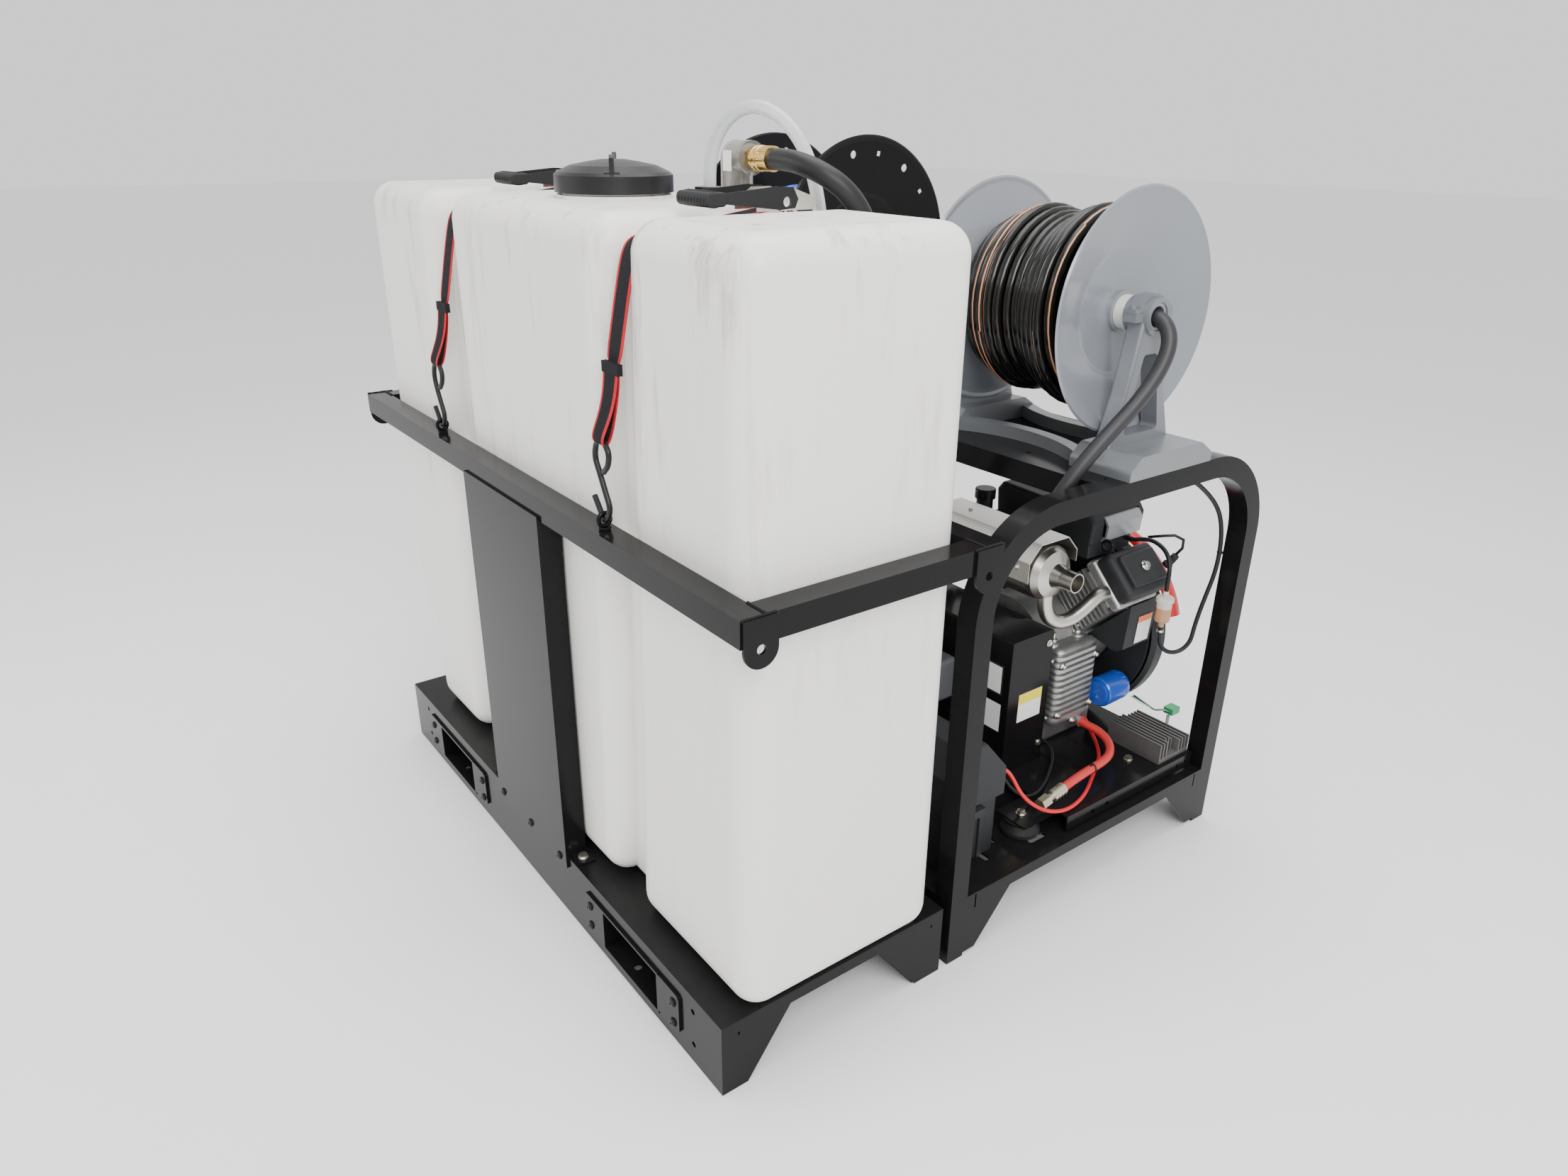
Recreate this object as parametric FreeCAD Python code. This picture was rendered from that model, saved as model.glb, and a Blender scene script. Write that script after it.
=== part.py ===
"""Skid-mounted pressure washer: a water-tank skid standing in front of an engine, pump and reel skid.

Bench axes, millimetres: X runs along the tank from its far end, Y runs from the tank skid's front
plate to the back of the machine skid, and Z is up from the floor. save() moves every solid so that
the row's origin is the middle of the footprint on the floor.
"""
import FreeCAD, Part
import math
import os

V = FreeCAD.Vector

# ---------------------------------------------------------------- driving dimensions
SKID_L = 1524.0            # both skids, along X (60 in)
TANK_SKID_D = 526.0        # tank skid, along Y
DECK_Z = 154.0             # top of the tank skid's deck
SHEET = 5.0                # skid sheet
TUBE = 45.0                # square tube of the rail ring and the hoops
TUBE_WALL = 3.0
RAIL_X0, RAIL_X1 = -44.7, 1591.0
RAIL_Y1 = 528.0            # rear face of the rear rail
RAIL_TOP = 951.5
EAR_T = 5.0                # lifting ears on the rail ends
MAST_X0, MAST_X1 = 588.0, 941.0

POCKET_W, POCKET_H = 210.0, 87.0
POCKET_Z = 30.0            # floor of a fork pocket's opening
POCKET_X = (203.0, 1099.0)  # low-X side of each opening

TANK_X0, TANK_X1 = 20.0, 1540.0
TANK_Y0, TANK_Y1 = 46.5, 481.5
TANK_TOP = 1450.0
TANK_WALL = 7.0
LID_C = V(795.0, 268.0, 0.0)
LID_R = 110.0

HOOP_Y0, HOOP_Y1 = 549.0, 1436.0
HOOP_TOP = 958.7
HOOP_R = 204.0             # outer radius of the hoops' bends
HOOP_X = (0.0, SKID_L - TUBE)
MDECK_Z = 150.0            # top of the machine skid's deck

PLATE_Z = 192.0            # top of the engine sub-plate
PLATE_X0, PLATE_X1 = 780.0, 1500.0
PLATE_Y0, PLATE_Y1 = 923.0, 1378.0

CRANK = V(1150.0, 0.0, 440.0)   # engine crankshaft axis, along Y
PUMP = V(905.0, 0.0, 380.0)     # pump shaft axis, along Y
CRANK_PULLEY_R, PUMP_PULLEY_R = 45.0, 95.0
CYL_Y = 1240.0             # middle of both cylinders along the crankshaft
GUARD_X0, GUARD_X1 = 780.0, 1300.0
GUARD_Y0, GUARD_Y1 = 925.0, 1060.0
GUARD_TOP = 532.0

REEL_Y, GREY_Z = 1058.0, 1247.0
GREY_R = 235.0
GREY_X0, GREY_X1 = 1036.0, 1408.0
ARM_T = 38.0               # thickness of the grey reel's cast arms
DISH = 44.0                # depth of the grey reel's dished sides
AXLE_R = 27.0              # its hollow axle
BLACK_X0, BLACK_X1 = 215.0, 600.0
BLACK_Z, BLACK_R = 1297.0, 258.0

STRAP_W, STRAP_T = 50.0, 3.0
STRAP_X = (449.0, 1177.0)  # straps where they cross the tank's top
STRAP_FOOT_X = (427.0, 1165.0)
EYELET_X = (415.0, 1160.0)
RATCHET_Y = 352.0          # spool axis of each ratchet
RATCHET_Z = 1462.0

FIT = 0.05                 # radial clearance of a running fit
GAP = 0.6                  # clearance between pieces of different bodies

FOOT_MIN_Y, FOOT_MAX_Y = -10.0, HOOP_Y1
ORIGIN = V((RAIL_X0 + RAIL_X1) / 2, (FOOT_MIN_Y + FOOT_MAX_Y) / 2, 0.0)

AX = V(1, 0, 0)
AY = V(0, 1, 0)
AZ = V(0, 0, 1)


# ---------------------------------------------------------------- helpers
def save(name, *shapes):
    """Write one node as a STEP file, its solids kept separate."""
    solids = [s for shape in shapes for s in shape.Solids]
    node = solids[0] if len(solids) == 1 else Part.makeCompound(solids)
    node = node.copy()
    node.translate(ORIGIN * -1)
    for solid in node.Solids:
        if not solid.isValid() or solid.Volume <= 0:
            print("CHECK", name, "has a bad solid", solid.Volume)
    node.exportStep("parts/" + name + ".step")
    print(name, len(solids), "solids", round(node.Volume / 1000.0), "cm3")


def box(x0, x1, y0, y1, z0, z1):
    return Part.makeBox(x1 - x0, y1 - y0, z1 - z0, V(x0, y0, z0))


def rod(x, y, z, axis, r, length):
    return Part.makeCylinder(r, length, V(x, y, z), axis)


def pipe(x, y, z, axis, r_out, r_in, length):
    return rod(x, y, z, axis, r_out, length).cut(rod(x, y, z, axis, r_in, length))


def join(shapes):
    first = shapes[0]
    whole = first.multiFuse(shapes[1:]) if len(shapes) > 1 else first
    return whole.removeSplitter()


def cut(shape, tools):
    return shape.cut(Part.makeCompound(tools))


def rounded(shape, r, pick=None):
    """Fillet every edge, or those that pick(edge) accepts."""
    edges = [e for e in shape.Edges if pick is None or pick(e)]
    return shape.makeFillet(r, edges)


def runs(axis):
    """Edge filter: straight edges along an axis."""
    def test(edge):
        if not isinstance(edge.Curve, Part.Line):
            return False
        return abs(abs(edge.Curve.Direction.dot(axis)) - 1) < 1e-6
    return test


def prism(points, axis, low, high):
    """Polygon extruded along X (points are y, z), Y (x, z) or Z (x, y) from low to high."""
    if axis is AX:
        corners = [V(low, a, b) for a, b in points]
    elif axis is AY:
        corners = [V(a, low, b) for a, b in points]
    else:
        corners = [V(a, b, low) for a, b in points]
    face = Part.Face(Part.makePolygon(corners + corners[:1]))
    return face.extrude(axis * (high - low))


def lathe(profile, centre, axis):
    """Turn a closed (radius, height) profile about an axis through centre."""
    corners = [V(r, 0, h) for r, h in profile]
    face = Part.Face(Part.makePolygon(corners + corners[:1]))
    solid = face.revolve(V(0, 0, 0), AZ, 360)
    solid.Placement = FreeCAD.Placement(centre, FreeCAD.Rotation(AZ, axis))
    return solid


def hexagon(x, y, z, axis, across, height):
    """Hexagonal prism whose flats are across apart."""
    r = across / math.sqrt(3)
    corners = [V(r * math.cos(math.radians(60 * i)), r * math.sin(math.radians(60 * i)), 0)
               for i in range(7)]
    solid = Part.Face(Part.makePolygon(corners)).extrude(V(0, 0, height))
    if axis is not AZ:
        turn = FreeCAD.Rotation(AZ, axis)
        solid.Placement = FreeCAD.Placement(V(x, y, z), turn)
    else:
        solid.translate(V(x, y, z))
    return solid


def slot_z(x, y, length, width, z0, z1, along=AX):
    """Slot cutter through a horizontal sheet, its length along X or Y."""
    half = (length - width) / 2
    ends = [rod(x + along.x * s, y + along.y * s, z0, AZ, width / 2, z1 - z0) for s in (-half, half)]
    w, h = (half, width / 2) if along is AX else (width / 2, half)
    return join(ends + [box(x - w, x + w, y - h, y + h, z0, z1)])


def arc_path(points):
    """Wire of straight runs joined by tangent arcs; also returns the smallest radius."""
    radii = []
    edges = []
    start = points[0]
    for before, here, after in zip(points, points[1:], points[2:]):
        d_in = (here - before).normalize()
        d_out = (after - here).normalize()
        half = math.acos(max(-1.0, min(1.0, d_in.dot(d_out)))) / 2
        reach = 0.45 * min((here - before).Length, (after - here).Length)
        radii.append(reach / math.tan(half))
        first = here - d_in * reach
        last = here + d_out * reach
        centre_dir = (d_out - d_in).normalize()
        middle = here + centre_dir * (radii[-1] * (1 / math.cos(half) - 1))
        edges.append(Part.LineSegment(start, first).toShape())
        edges.append(Part.Arc(first, middle, last).toShape())
        start = last
    edges.append(Part.LineSegment(start, points[-1]).toShape())
    return Part.Wire(edges), radii


def cord(name, points, dia):
    """Plain tube along a cord's route."""
    pts = [V(*p) for p in points]
    wire, radii = arc_path(pts)
    ring = Part.Wire(Part.makeCircle(dia / 2, pts[0], pts[1] - pts[0]))
    tube = wire.makePipeShell([ring], True, False)
    ratio = tube.Volume / (math.pi * dia * dia / 4 * wire.Length)
    print(name, "length", round(wire.Length), "least radius", round(min(radii)),
          "=", round(min(radii) / dia, 1), "d, volume ratio", round(ratio, 3))
    print("   radii", [round(r) for r in radii])
    return tube


def square_tube_x(x0, x1, y0, z0):
    hollow = box(x0, x1, y0 + TUBE_WALL, y0 + TUBE - TUBE_WALL, z0 + TUBE_WALL, z0 + TUBE - TUBE_WALL)
    return box(x0, x1, y0, y0 + TUBE, z0, z0 + TUBE).cut(hollow)


def square_tube_y(x0, y0, y1, z0):
    hollow = box(x0 + TUBE_WALL, x0 + TUBE - TUBE_WALL, y0, y1, z0 + TUBE_WALL, z0 + TUBE - TUBE_WALL)
    return box(x0, x0 + TUBE, y0, y1, z0, z0 + TUBE).cut(hollow)


# ---------------------------------------------------------------- tank skid
BOLT_INSET = 58.0
POCKET_BOLT_Z = (47.0, 95.0)
MAST_BOLTS = ((614.0, 141.0), (763.0, 141.0), (907.0, 141.0))


def pocket_bolt_places():
    places = []
    for x0 in POCKET_X:
        for x in (x0 - BOLT_INSET, x0 + POCKET_W + BOLT_INSET):
            places += [(x, z) for z in POCKET_BOLT_Z]
    return places


def end_leg(x0, x1):
    """Trapezoid legs under one end of the tank skid: front and rear plates on the end face."""
    front = prism([(5, 0), (55, 0), (164, 149), (5, 149)], AX, x0, x1)
    rear = prism([(526, 0), (460, 0), (345, 149), (526, 149)], AX, x0, x1)
    slots = [box(x0 - 1, x1 + 1, y, y + 4, 122, 140) for y in (34, 494)]
    return cut(join([front, rear]), slots)


def tank_base():
    deck = box(0, SKID_L, SHEET, TANK_SKID_D - SHEET, DECK_Z - SHEET, DECK_Z)
    front = box(0, SKID_L, 0, SHEET, 0, DECK_Z)
    rear = box(0, SKID_L, TANK_SKID_D - SHEET, TANK_SKID_D, 104, DECK_Z)
    pieces = [deck, front, rear]
    for x0, inner in ((0.0, 5.0), (SKID_L - SHEET, SKID_L - SHEET - 45.0)):
        pieces.append(box(x0, x0 + SHEET, SHEET, TANK_SKID_D - SHEET, 129, DECK_Z - SHEET))
        pieces.append(end_leg(x0, x0 + SHEET))
        low = 5.0 if x0 == 0 else SKID_L - 50.0
        # stiffening lips bent in along the sloping edges of the legs
        pieces.append(prism([(54, 0), (59, 0), (168, 149), (163, 149)], AX, low, low + 45))
        pieces.append(prism([(456, 0), (461, 0), (346, 149), (341, 149)], AX, low, low + 45))
    for low, high, tip in ((5.0, 115.0, 50.0), (SKID_L - 115.0, SKID_L - 5.0, SKID_L - 50.0)):
        foot = low if low < 100 else high
        pieces.append(prism([(foot, 0), (tip, 0), (high if low < 100 else low, 104), (foot, 104)],
                            AY, TANK_SKID_D - SHEET, TANK_SKID_D))
    body = join(pieces)
    tools = []
    for x0 in POCKET_X:
        tools.append(box(x0 - SHEET, x0 + POCKET_W + SHEET, -1, TANK_SKID_D + 1,
                         POCKET_Z - SHEET, POCKET_Z + POCKET_H + SHEET))
    for x, z in pocket_bolt_places() + list(MAST_BOLTS):
        tools.append(rod(x, -1, z, AY, 5.5, SHEET + 2))
    for x, z in ((1431, 43), (1431, 120), (99, 47), (99, 121)):
        tools.append(rod(x, -1, z, AY, 6, SHEET + 2))
    tools += [rod(x, 24, DECK_Z - SHEET - 1, AZ, 5.5, SHEET + 2) for x in (MAST_X0 - 22, MAST_X1 + 22)]
    return cut(body, tools)


def fork_pocket(x0):
    """Bolted fork pocket: a box channel with a side flange on each side of its mouth."""
    x1 = x0 + POCKET_W
    z1 = POCKET_Z + POCKET_H
    shell = box(x0 - SHEET, x1 + SHEET, -SHEET, TANK_SKID_D, POCKET_Z - SHEET, z1 + SHEET)
    flanges = [rounded(box(x0 - 80, x0, -SHEET, 0, 33, 122), 12, runs(AY)),
               rounded(box(x1, x1 + 80, -SHEET, 0, 33, 122), 12, runs(AY))]
    body = join([shell] + flanges)
    tools = [box(x0, x1, -SHEET - 1, TANK_SKID_D + 1, POCKET_Z, z1),
             rod(x0 + 88, 22, POCKET_Z - SHEET - 1, AZ, 9, SHEET + 2)]
    for x in (x0 - BOLT_INSET, x1 + BOLT_INSET):
        tools += [rod(x, -SHEET - 1, z, AY, 5.5, SHEET + 2) for z in POCKET_BOLT_Z]
    return cut(body, tools)


def button_bolt(x, z):
    head = lathe([(0, 0), (9.5, 0), (9.5, 2), (6.5, 5), (3, 5), (3, 2.5), (0, 2.5)], V(x, -SHEET, z), AY * -1)
    shank = rod(x, -SHEET, z, AY, 5, 2 * SHEET + 2)
    nut = hexagon(x, SHEET, z, AY, 16, 6)
    return join([head, shank, nut])


def upper_frame():
    """Rail ring round the tank, its four ears, the strap eyelets and the mast welded under it."""
    z0 = RAIL_TOP - TUBE
    y_rear = RAIL_Y1 - TUBE
    pieces = [square_tube_x(RAIL_X0, RAIL_X1, 0, z0),
              square_tube_x(RAIL_X0, RAIL_X1, y_rear, z0),
              square_tube_y(RAIL_X0, TUBE, y_rear, z0),
              square_tube_y(RAIL_X1 - TUBE, TUBE, y_rear, z0)]
    for x in (RAIL_X0 - EAR_T, RAIL_X1):
        for y in (33.5, 491.0):
            ear = join([box(x, x + EAR_T, y - 30.5, y + 30.5, 901, RAIL_TOP - 1),
                        rod(x, y, 901, AX, 30.5, EAR_T)])
            pieces.append(ear.cut(rod(x - 1, y, 901, AX, 8, EAR_T + 2)))
    for x in EYELET_X:
        for y in (22.0, RAIL_Y1 - 22.0):
            pieces.append(rod(x, y, RAIL_TOP - 1, AZ, 9, 5))
            eye = Part.makeTorus(11, 4, V(x, y, RAIL_TOP + 18), AX)
            pieces.append(eye)
    # mast: front plate, two returns, and a foot tab on each side
    pieces.append(box(MAST_X0, MAST_X1, -SHEET, 0, 128, z0 + 8))
    for x in (MAST_X0, MAST_X1 - SHEET):
        pieces.append(box(x, x + SHEET, -SHEET, 42, DECK_Z, z0))
    for x0, x1 in ((MAST_X0 - 44, MAST_X0), (MAST_X1, MAST_X1 + 44)):
        pieces.append(box(x0, x1, 6, 42, DECK_Z, DECK_Z + 4))
    body = join(pieces)
    tools = [rod(x, -SHEET - 1, z, AY, 5.5, SHEET + 2) for x, z in MAST_BOLTS]
    tools += [rod(x, 24, DECK_Z - 1, AZ, 5.5, 6) for x in (MAST_X0 - 22, MAST_X1 + 22)]
    return cut(body, tools)


def flange_bolt(x, y, z):
    """Zinc hex flange bolt seen from above; z is the face under its flange."""
    return join([rod(x, y, z, AZ, 11, 2), hexagon(x, y, z + 2, AZ, 16, 6), rod(x, y, z - 14, AZ, 5, 15)])


# ---------------------------------------------------------------- tank
NOTCH_Z = 372.0


def lobe(corners, inset, r):
    """One lobe of the tank: an x, z outline carried from front to back with rounded edges."""
    cx = sum(p[0] for p in corners) / len(corners)
    cz = sum(p[1] for p in corners) / len(corners)
    moved = [(x + (inset if x < cx else -inset), z + (inset if z < cz else -inset)) for x, z in corners]
    block = prism(moved, AY, TANK_Y0 + inset, TANK_Y1 - inset)
    return rounded(block, r - inset)


def tank_body(inset):
    z0, z1 = DECK_Z, TANK_TOP
    left_top = lobe([(TANK_X0, NOTCH_Z), (368, NOTCH_Z), (398, z1), (TANK_X0, z1)], inset, 50)
    left_low = lobe([(92, z0), (362, z0), (372, NOTCH_Z + 150), (92, NOTCH_Z + 150)], inset, 50)
    middle = lobe([(505, z0), (1078, z0), (1140, z1), (500, z1)], inset, 50)
    right = lobe([(1153, z0), (TANK_X1, z0), (TANK_X1, z1), (1213, z1)], inset, 50)
    core = rounded(box(140 + inset, 1500 - inset, TANK_Y0 + 45 + inset, TANK_Y1 - 45 - inset,
                       z0 + inset, z1 - 38 - inset), 28 - inset)
    return join([left_top, left_low, middle, right, core])


def tank():
    outer = tank_body(0)
    neck = rod(LID_C.x, LID_C.y, TANK_TOP - 20, AZ, 96, 48)
    flange = rod(LID_C.x, LID_C.y, TANK_TOP - 12, AZ, 106, 17)
    outer = join([outer, neck, flange])
    inner = tank_body(TANK_WALL)
    mouth = rod(LID_C.x, LID_C.y, TANK_TOP - 40, AZ, 88, 80)
    shell = outer.cut(inner).cut(mouth)
    ports = [rod(x, y, TANK_TOP - 30, AZ, r, 60) for x, y, r in TOP_PORTS]
    return cut(shell, ports)


# ports on the tank's top: x, y, radius of the hole for the vent hose elbow and the fill elbow
TOP_PORTS = ((872.0, 430.0, 16.0), (985.0, 415.0, 24.0))


def tank_fitting(x, y, r):
    """Bulkhead ring round a port, with its hexagon and the thread through the wall."""
    ring = rod(x, y, TANK_TOP, AZ, r + 16, 7)
    hexa = hexagon(x, y, TANK_TOP + 7, AZ, 2 * r + 18, 10)
    thread = rod(x, y, TANK_TOP - 24, AZ, r - 0.3, 26)
    return join([ring, hexa, thread]).cut(rod(x, y, TANK_TOP - 30, AZ, r - 5, 60))


def lid_gasket():
    return pipe(LID_C.x, LID_C.y, TANK_TOP + 28, AZ, 96, 84, 4)


LID_SKIRT_Z = TANK_TOP + 9.0
LID_RIM_Z = TANK_TOP + 44.0
LID_DOME_Z = TANK_TOP + 66.0


def tank_lid():
    outer = [(0, LID_SKIRT_Z), (LID_R, LID_SKIRT_Z), (LID_R, LID_RIM_Z - 5), (LID_R - 6, LID_RIM_Z),
             (80, LID_RIM_Z + 11), (50, LID_DOME_Z - 5), (24, LID_DOME_Z - 1), (0, LID_DOME_Z)]
    inner_top = LID_RIM_Z + 2
    inner = [(0, LID_SKIRT_Z - 1), (LID_R - 7, LID_SKIRT_Z - 1), (LID_R - 7, TANK_TOP + 32.3),
             (80, TANK_TOP + 32.3), (80, inner_top), (48, inner_top + 8), (0, inner_top + 12)]
    centre = V(LID_C.x, LID_C.y, 0)
    body = lathe(outer, centre, AZ).cut(lathe(inner, centre, AZ))
    lugs = []
    for angle in (150.0, -30.0):
        lug = prism([(62, LID_RIM_Z + 2), (106, LID_RIM_Z - 4), (106, LID_DOME_Z + 4), (98, LID_DOME_Z + 9),
                     (74, LID_DOME_Z + 9), (62, LID_DOME_Z - 2)], AY, -4, 4)
        lug = lug.cut(rod(91, -5, LID_DOME_Z, AY, 6.5, 10))
        foot = prism([(60, LID_RIM_Z + 2), (104, LID_RIM_Z - 4), (104, LID_RIM_Z + 2), (64, LID_RIM_Z + 10)],
                     AY, -14, 14)
        piece = join([lug, foot])
        piece.rotate(V(0, 0, 0), AZ, angle)
        piece.translate(centre)
        lugs.append(piece)
    return join([body] + lugs)


# ---------------------------------------------------------------- straps and ratchets
def ribbon(points, x, width, thick):
    """Webbing strip of constant width along X whose section follows (y, z) points."""
    path = [V(x - width / 2, y, z) for y, z in points]
    left = []
    right = []
    for i, here in enumerate(path):
        before = path[max(i - 1, 0)]
        after = path[min(i + 1, len(path) - 1)]
        t = (after - before).normalize()
        n = V(0, -t.z, t.y)
        left.append(here + n * (thick / 2))
        right.append(here - n * (thick / 2))
    outline = left + right[::-1]
    face = Part.Face(Part.makePolygon(outline + outline[:1]))
    return face.extrude(AX * width)


# side views (y, z) of a strap: the hanging stretch, the stretch over the tank's top, and their rear twins
STRAP_HANG = ((30, 1104), (48, 1221), (66, 1320), (80, 1388))
STRAP_TOP = ((80, 1386), (90, 1408), (108, 1419), (150, 1425), (240, 1436), (330, 1448))
REAR_HANG = ((497, 1104), (479, 1221), (460, 1320), (446, 1388))
REAR_TOP = ((446, 1386), (436, 1408), (420, 1424), (400, 1440), (374, 1448))


def strap(x_foot, x_top):
    """A strap in two pieces, front and rear, each leaning along its groove from its hook to the top."""
    pieces = []
    for hang, top in ((STRAP_HANG, STRAP_TOP), (REAR_HANG, REAR_TOP)):
        low = ribbon(hang, x_top, STRAP_W, STRAP_T)
        fall = hang[-1][1] - hang[0][1]
        lean = math.degrees(math.atan((x_top - x_foot) / fall))
        low.rotate(V(x_top, 0, hang[-1][1]), AY, lean)
        pieces.append(join([low, ribbon(top, x_top, STRAP_W, STRAP_T)]))
    return pieces


def s_hook(x, y, x_top):
    """Bent-rod hook: an open lower loop through the eyelet and an upper loop through the strap."""
    z = RAIL_TOP + 18
    dx = x_top - x
    pts = [V(x - 30, y, z + 34), V(x - 12, y, z + 12), V(x - 2, y, z - 2), V(x + 15, y, z + 4), V(x + 24, y, z + 26),
           V(x + 10, y, z + 50), V(x - 4, y, z + 76), V(x + dx - 26, y, z + 104),
           V(x + dx - 16, y, z + 132), V(x + dx + 8, y, z + 138), V(x + dx + 26, y, z + 120),
           V(x + dx + 20, y, z + 98), V(x + dx + 4, y, z + 84)]
    wire = arc_path(pts)[0]
    ring = Part.Wire(Part.makeCircle(5, pts[0], pts[1] - pts[0]))
    return wire.makePipeShell([ring], True, False)


def ratchet_frame(x):
    """U-shaped steel frame: two side plates, the floor plate between them and the end bolt."""
    half = 31.0
    plates = []
    for x0 in (x - half - 3, x + half):
        side = prism([(300, 1448), (412, 1448), (420, 1456), (420, 1466), (372, 1482), (335, 1482), (300, 1462)],
                     AX, x0, x0 + 3)
        plates.append(side.cut(rod(x0 - 1, RATCHET_Y, RATCHET_Z, AX, 8 + FIT, 5)))
    floor = box(x - half, x + half, 380, 412, 1448, 1451)
    bar = rod(x - half, 410, 1460, AX, 5, 2 * half)
    return join(plates + [floor, bar])


def ratchet_spool(x):
    """Slotted spool shaft with its two toothed wheels and end caps."""
    shaft = rod(x - 42, RATCHET_Y, RATCHET_Z, AX, 8, 84)
    parts = [shaft]
    teeth = 12
    for x0 in (x - 39.5, x + 36.5):
        corners = []
        for i in range(teeth):
            a = 2 * math.pi * i / teeth
            corners.append((RATCHET_Y + 17 * math.cos(a), RATCHET_Z + 17 * math.sin(a)))
            b = a + 2 * math.pi / teeth * 0.75
            corners.append((RATCHET_Y + 13 * math.cos(b), RATCHET_Z + 13 * math.sin(b)))
        parts.append(prism(corners, AX, x0, x0 + 3))
    slit = box(x - 27, x + 27, RATCHET_Y - 12, RATCHET_Y + 12, RATCHET_Z - 1.6, RATCHET_Z + 1.6)
    return join(parts).cut(slit)


def ratchet_handle(x):
    """Pressed handle: two cheeks round the spool wheels and a moulded grip over their free end."""
    parts = []
    for x0 in (x - 44.5, x + 41.5):
        cheek = prism([(RATCHET_Y + 16, 1452), (RATCHET_Y + 22, 1466), (RATCHET_Y + 12, 1484),
                       (RATCHET_Y - 20, 1486), (230, 1478), (230, 1462), (RATCHET_Y - 12, 1450)],
                      AX, x0, x0 + 3)
        parts.append(cheek.cut(rod(x0 - 1, RATCHET_Y, RATCHET_Z, AX, 8 + FIT, 5)))
    grip = rounded(box(x - 46, x + 46, 196, 236, 1458, 1480), 9, runs(AX))
    grip = rounded(grip, 4, lambda e: e.BoundBox.XLength < 1)
    cross = box(x - 41.5, x + 41.5, 232, 246, 1464, 1476)
    return join(parts + [grip, cross])


# ---------------------------------------------------------------- hoses and cables: routes by hand
CLEAR_HOSE = ((872, 430, 1467), (872, 430, 1496), (880, 431, 1530), (898, 434, 1562), (926, 439, 1588),
              (962, 446, 1604), (1002, 454, 1606), (1042, 464, 1592), (1076, 474, 1566), (1100, 484, 1530),
              (1113, 492, 1486), (1120, 499, 1438), (1122, 504, 1388), (1120, 507, 1336), (1114, 509, 1282),
              (1107, 511, 1228), (1102, 514, 1176), (1099, 520, 1130), (1097, 534, 1090), (1094, 560, 1058),
              (1091, 596, 1040), (1086, 638, 1028), (1078, 676, 1008), (1068, 706, 976), (1056, 727, 932),
              (1042, 742, 884), (1026, 753, 832), (1009, 761, 786), (989, 771, 742), (967, 784, 700),
              (946, 799, 664), (929, 815, 630), (917, 829, 598), (910, 840, 568), (908, 846, 540),
              (908, 846, 512))
SUPPLY_HOSE = ((1097, 415, 1522), (1133, 415, 1522), (1174, 421, 1516), (1208, 437, 1502), (1232, 462, 1480),
               (1244, 488, 1446), (1248, 504, 1406), (1246, 509, 1360), (1240, 510, 1310), (1233, 509, 1256),
               (1226, 510, 1202), (1221, 513, 1150), (1217, 523, 1104), (1211, 547, 1066), (1203, 584, 1042),
               (1192, 628, 1024), (1178, 670, 1000), (1162, 704, 964), (1144, 727, 920), (1124, 743, 872),
               (1104, 754, 822), (1080, 763, 775), (1056, 775, 741), (1031, 788, 707),
               (1005, 801, 674), (985, 817, 641), (971, 831, 606), (963, 841, 573), (960, 846, 541),
               (960, 846, 512))
REEL_HOSE = ((1428, 1058, 1247), (1448, 1058, 1247), (1469, 1057, 1239), (1485, 1054, 1222), (1493, 1048, 1199),
             (1494, 1038, 1173), (1492, 1022, 1145), (1488, 999, 1115), (1484, 970, 1086), (1478, 938, 1058),
             (1471, 905, 1027), (1460, 872, 988), (1447, 845, 944), (1430, 828, 896),
             (1404, 818, 850), (1370, 812, 806), (1330, 808, 766), (1284, 806, 732), (1232, 806, 706),
             (1180, 807, 686), (1134, 811, 671), (1096, 817, 657), (1064, 824, 641), (1039, 832, 621),
             (1022, 839, 597), (1014, 844, 570), (1012, 846, 541), (1012, 846, 512))
FUEL_LOWER = ((1440, 1214, 906), (1455, 1214, 906), (1467, 1224, 902), (1472, 1242, 892), (1474, 1270, 874),
              (1474, 1304, 850), (1474, 1337, 822), (1474, 1364, 788), (1475, 1379, 744), (1475, 1385, 694),
              (1474, 1380, 644), (1472, 1364, 598), (1471, 1350, 556), (1470, 1342, 520), (1470, 1338, 490),
              (1462, 1325, 468), (1450, 1305, 460), (1438, 1285, 468), (1430, 1271, 494), (1430, 1271, 530))
FUEL_UPPER = ((1430, 1271, 618), (1430, 1271, 638), (1428, 1275, 661), (1420, 1281, 683), (1404, 1287, 701),
              (1382, 1290, 711), (1358, 1292, 714), (1334, 1291, 709), (1312, 1290, 700), (1290, 1290, 700))
DRAIN_HOSE = ((1316, 1180, 256), (1342, 1180, 256), (1369, 1182, 254), (1397, 1176, 249), (1421, 1160, 244),
              (1438, 1134, 241), (1446, 1102, 240), (1449, 1066, 240), (1450, 1030, 238), (1451, 994, 234),
              (1452, 958, 228))
CABLE_RED = ((1420, 750, 331), (1420, 768, 331), (1421, 785, 328), (1424, 800, 316), (1428, 813, 296),
             (1433, 824, 272), (1444, 836, 248), (1460, 852, 229), (1476, 876, 214), (1485, 906, 205),
             (1487, 940, 200), (1482, 976, 199), (1471, 1012, 198), (1455, 1047, 198), (1437, 1081, 199),
             (1420, 1114, 200), (1402, 1148, 201), (1380, 1178, 203), (1352, 1202, 207), (1322, 1220, 213),
             (1300, 1234, 222), (1281, 1240, 232), (1262, 1240, 232))
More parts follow.
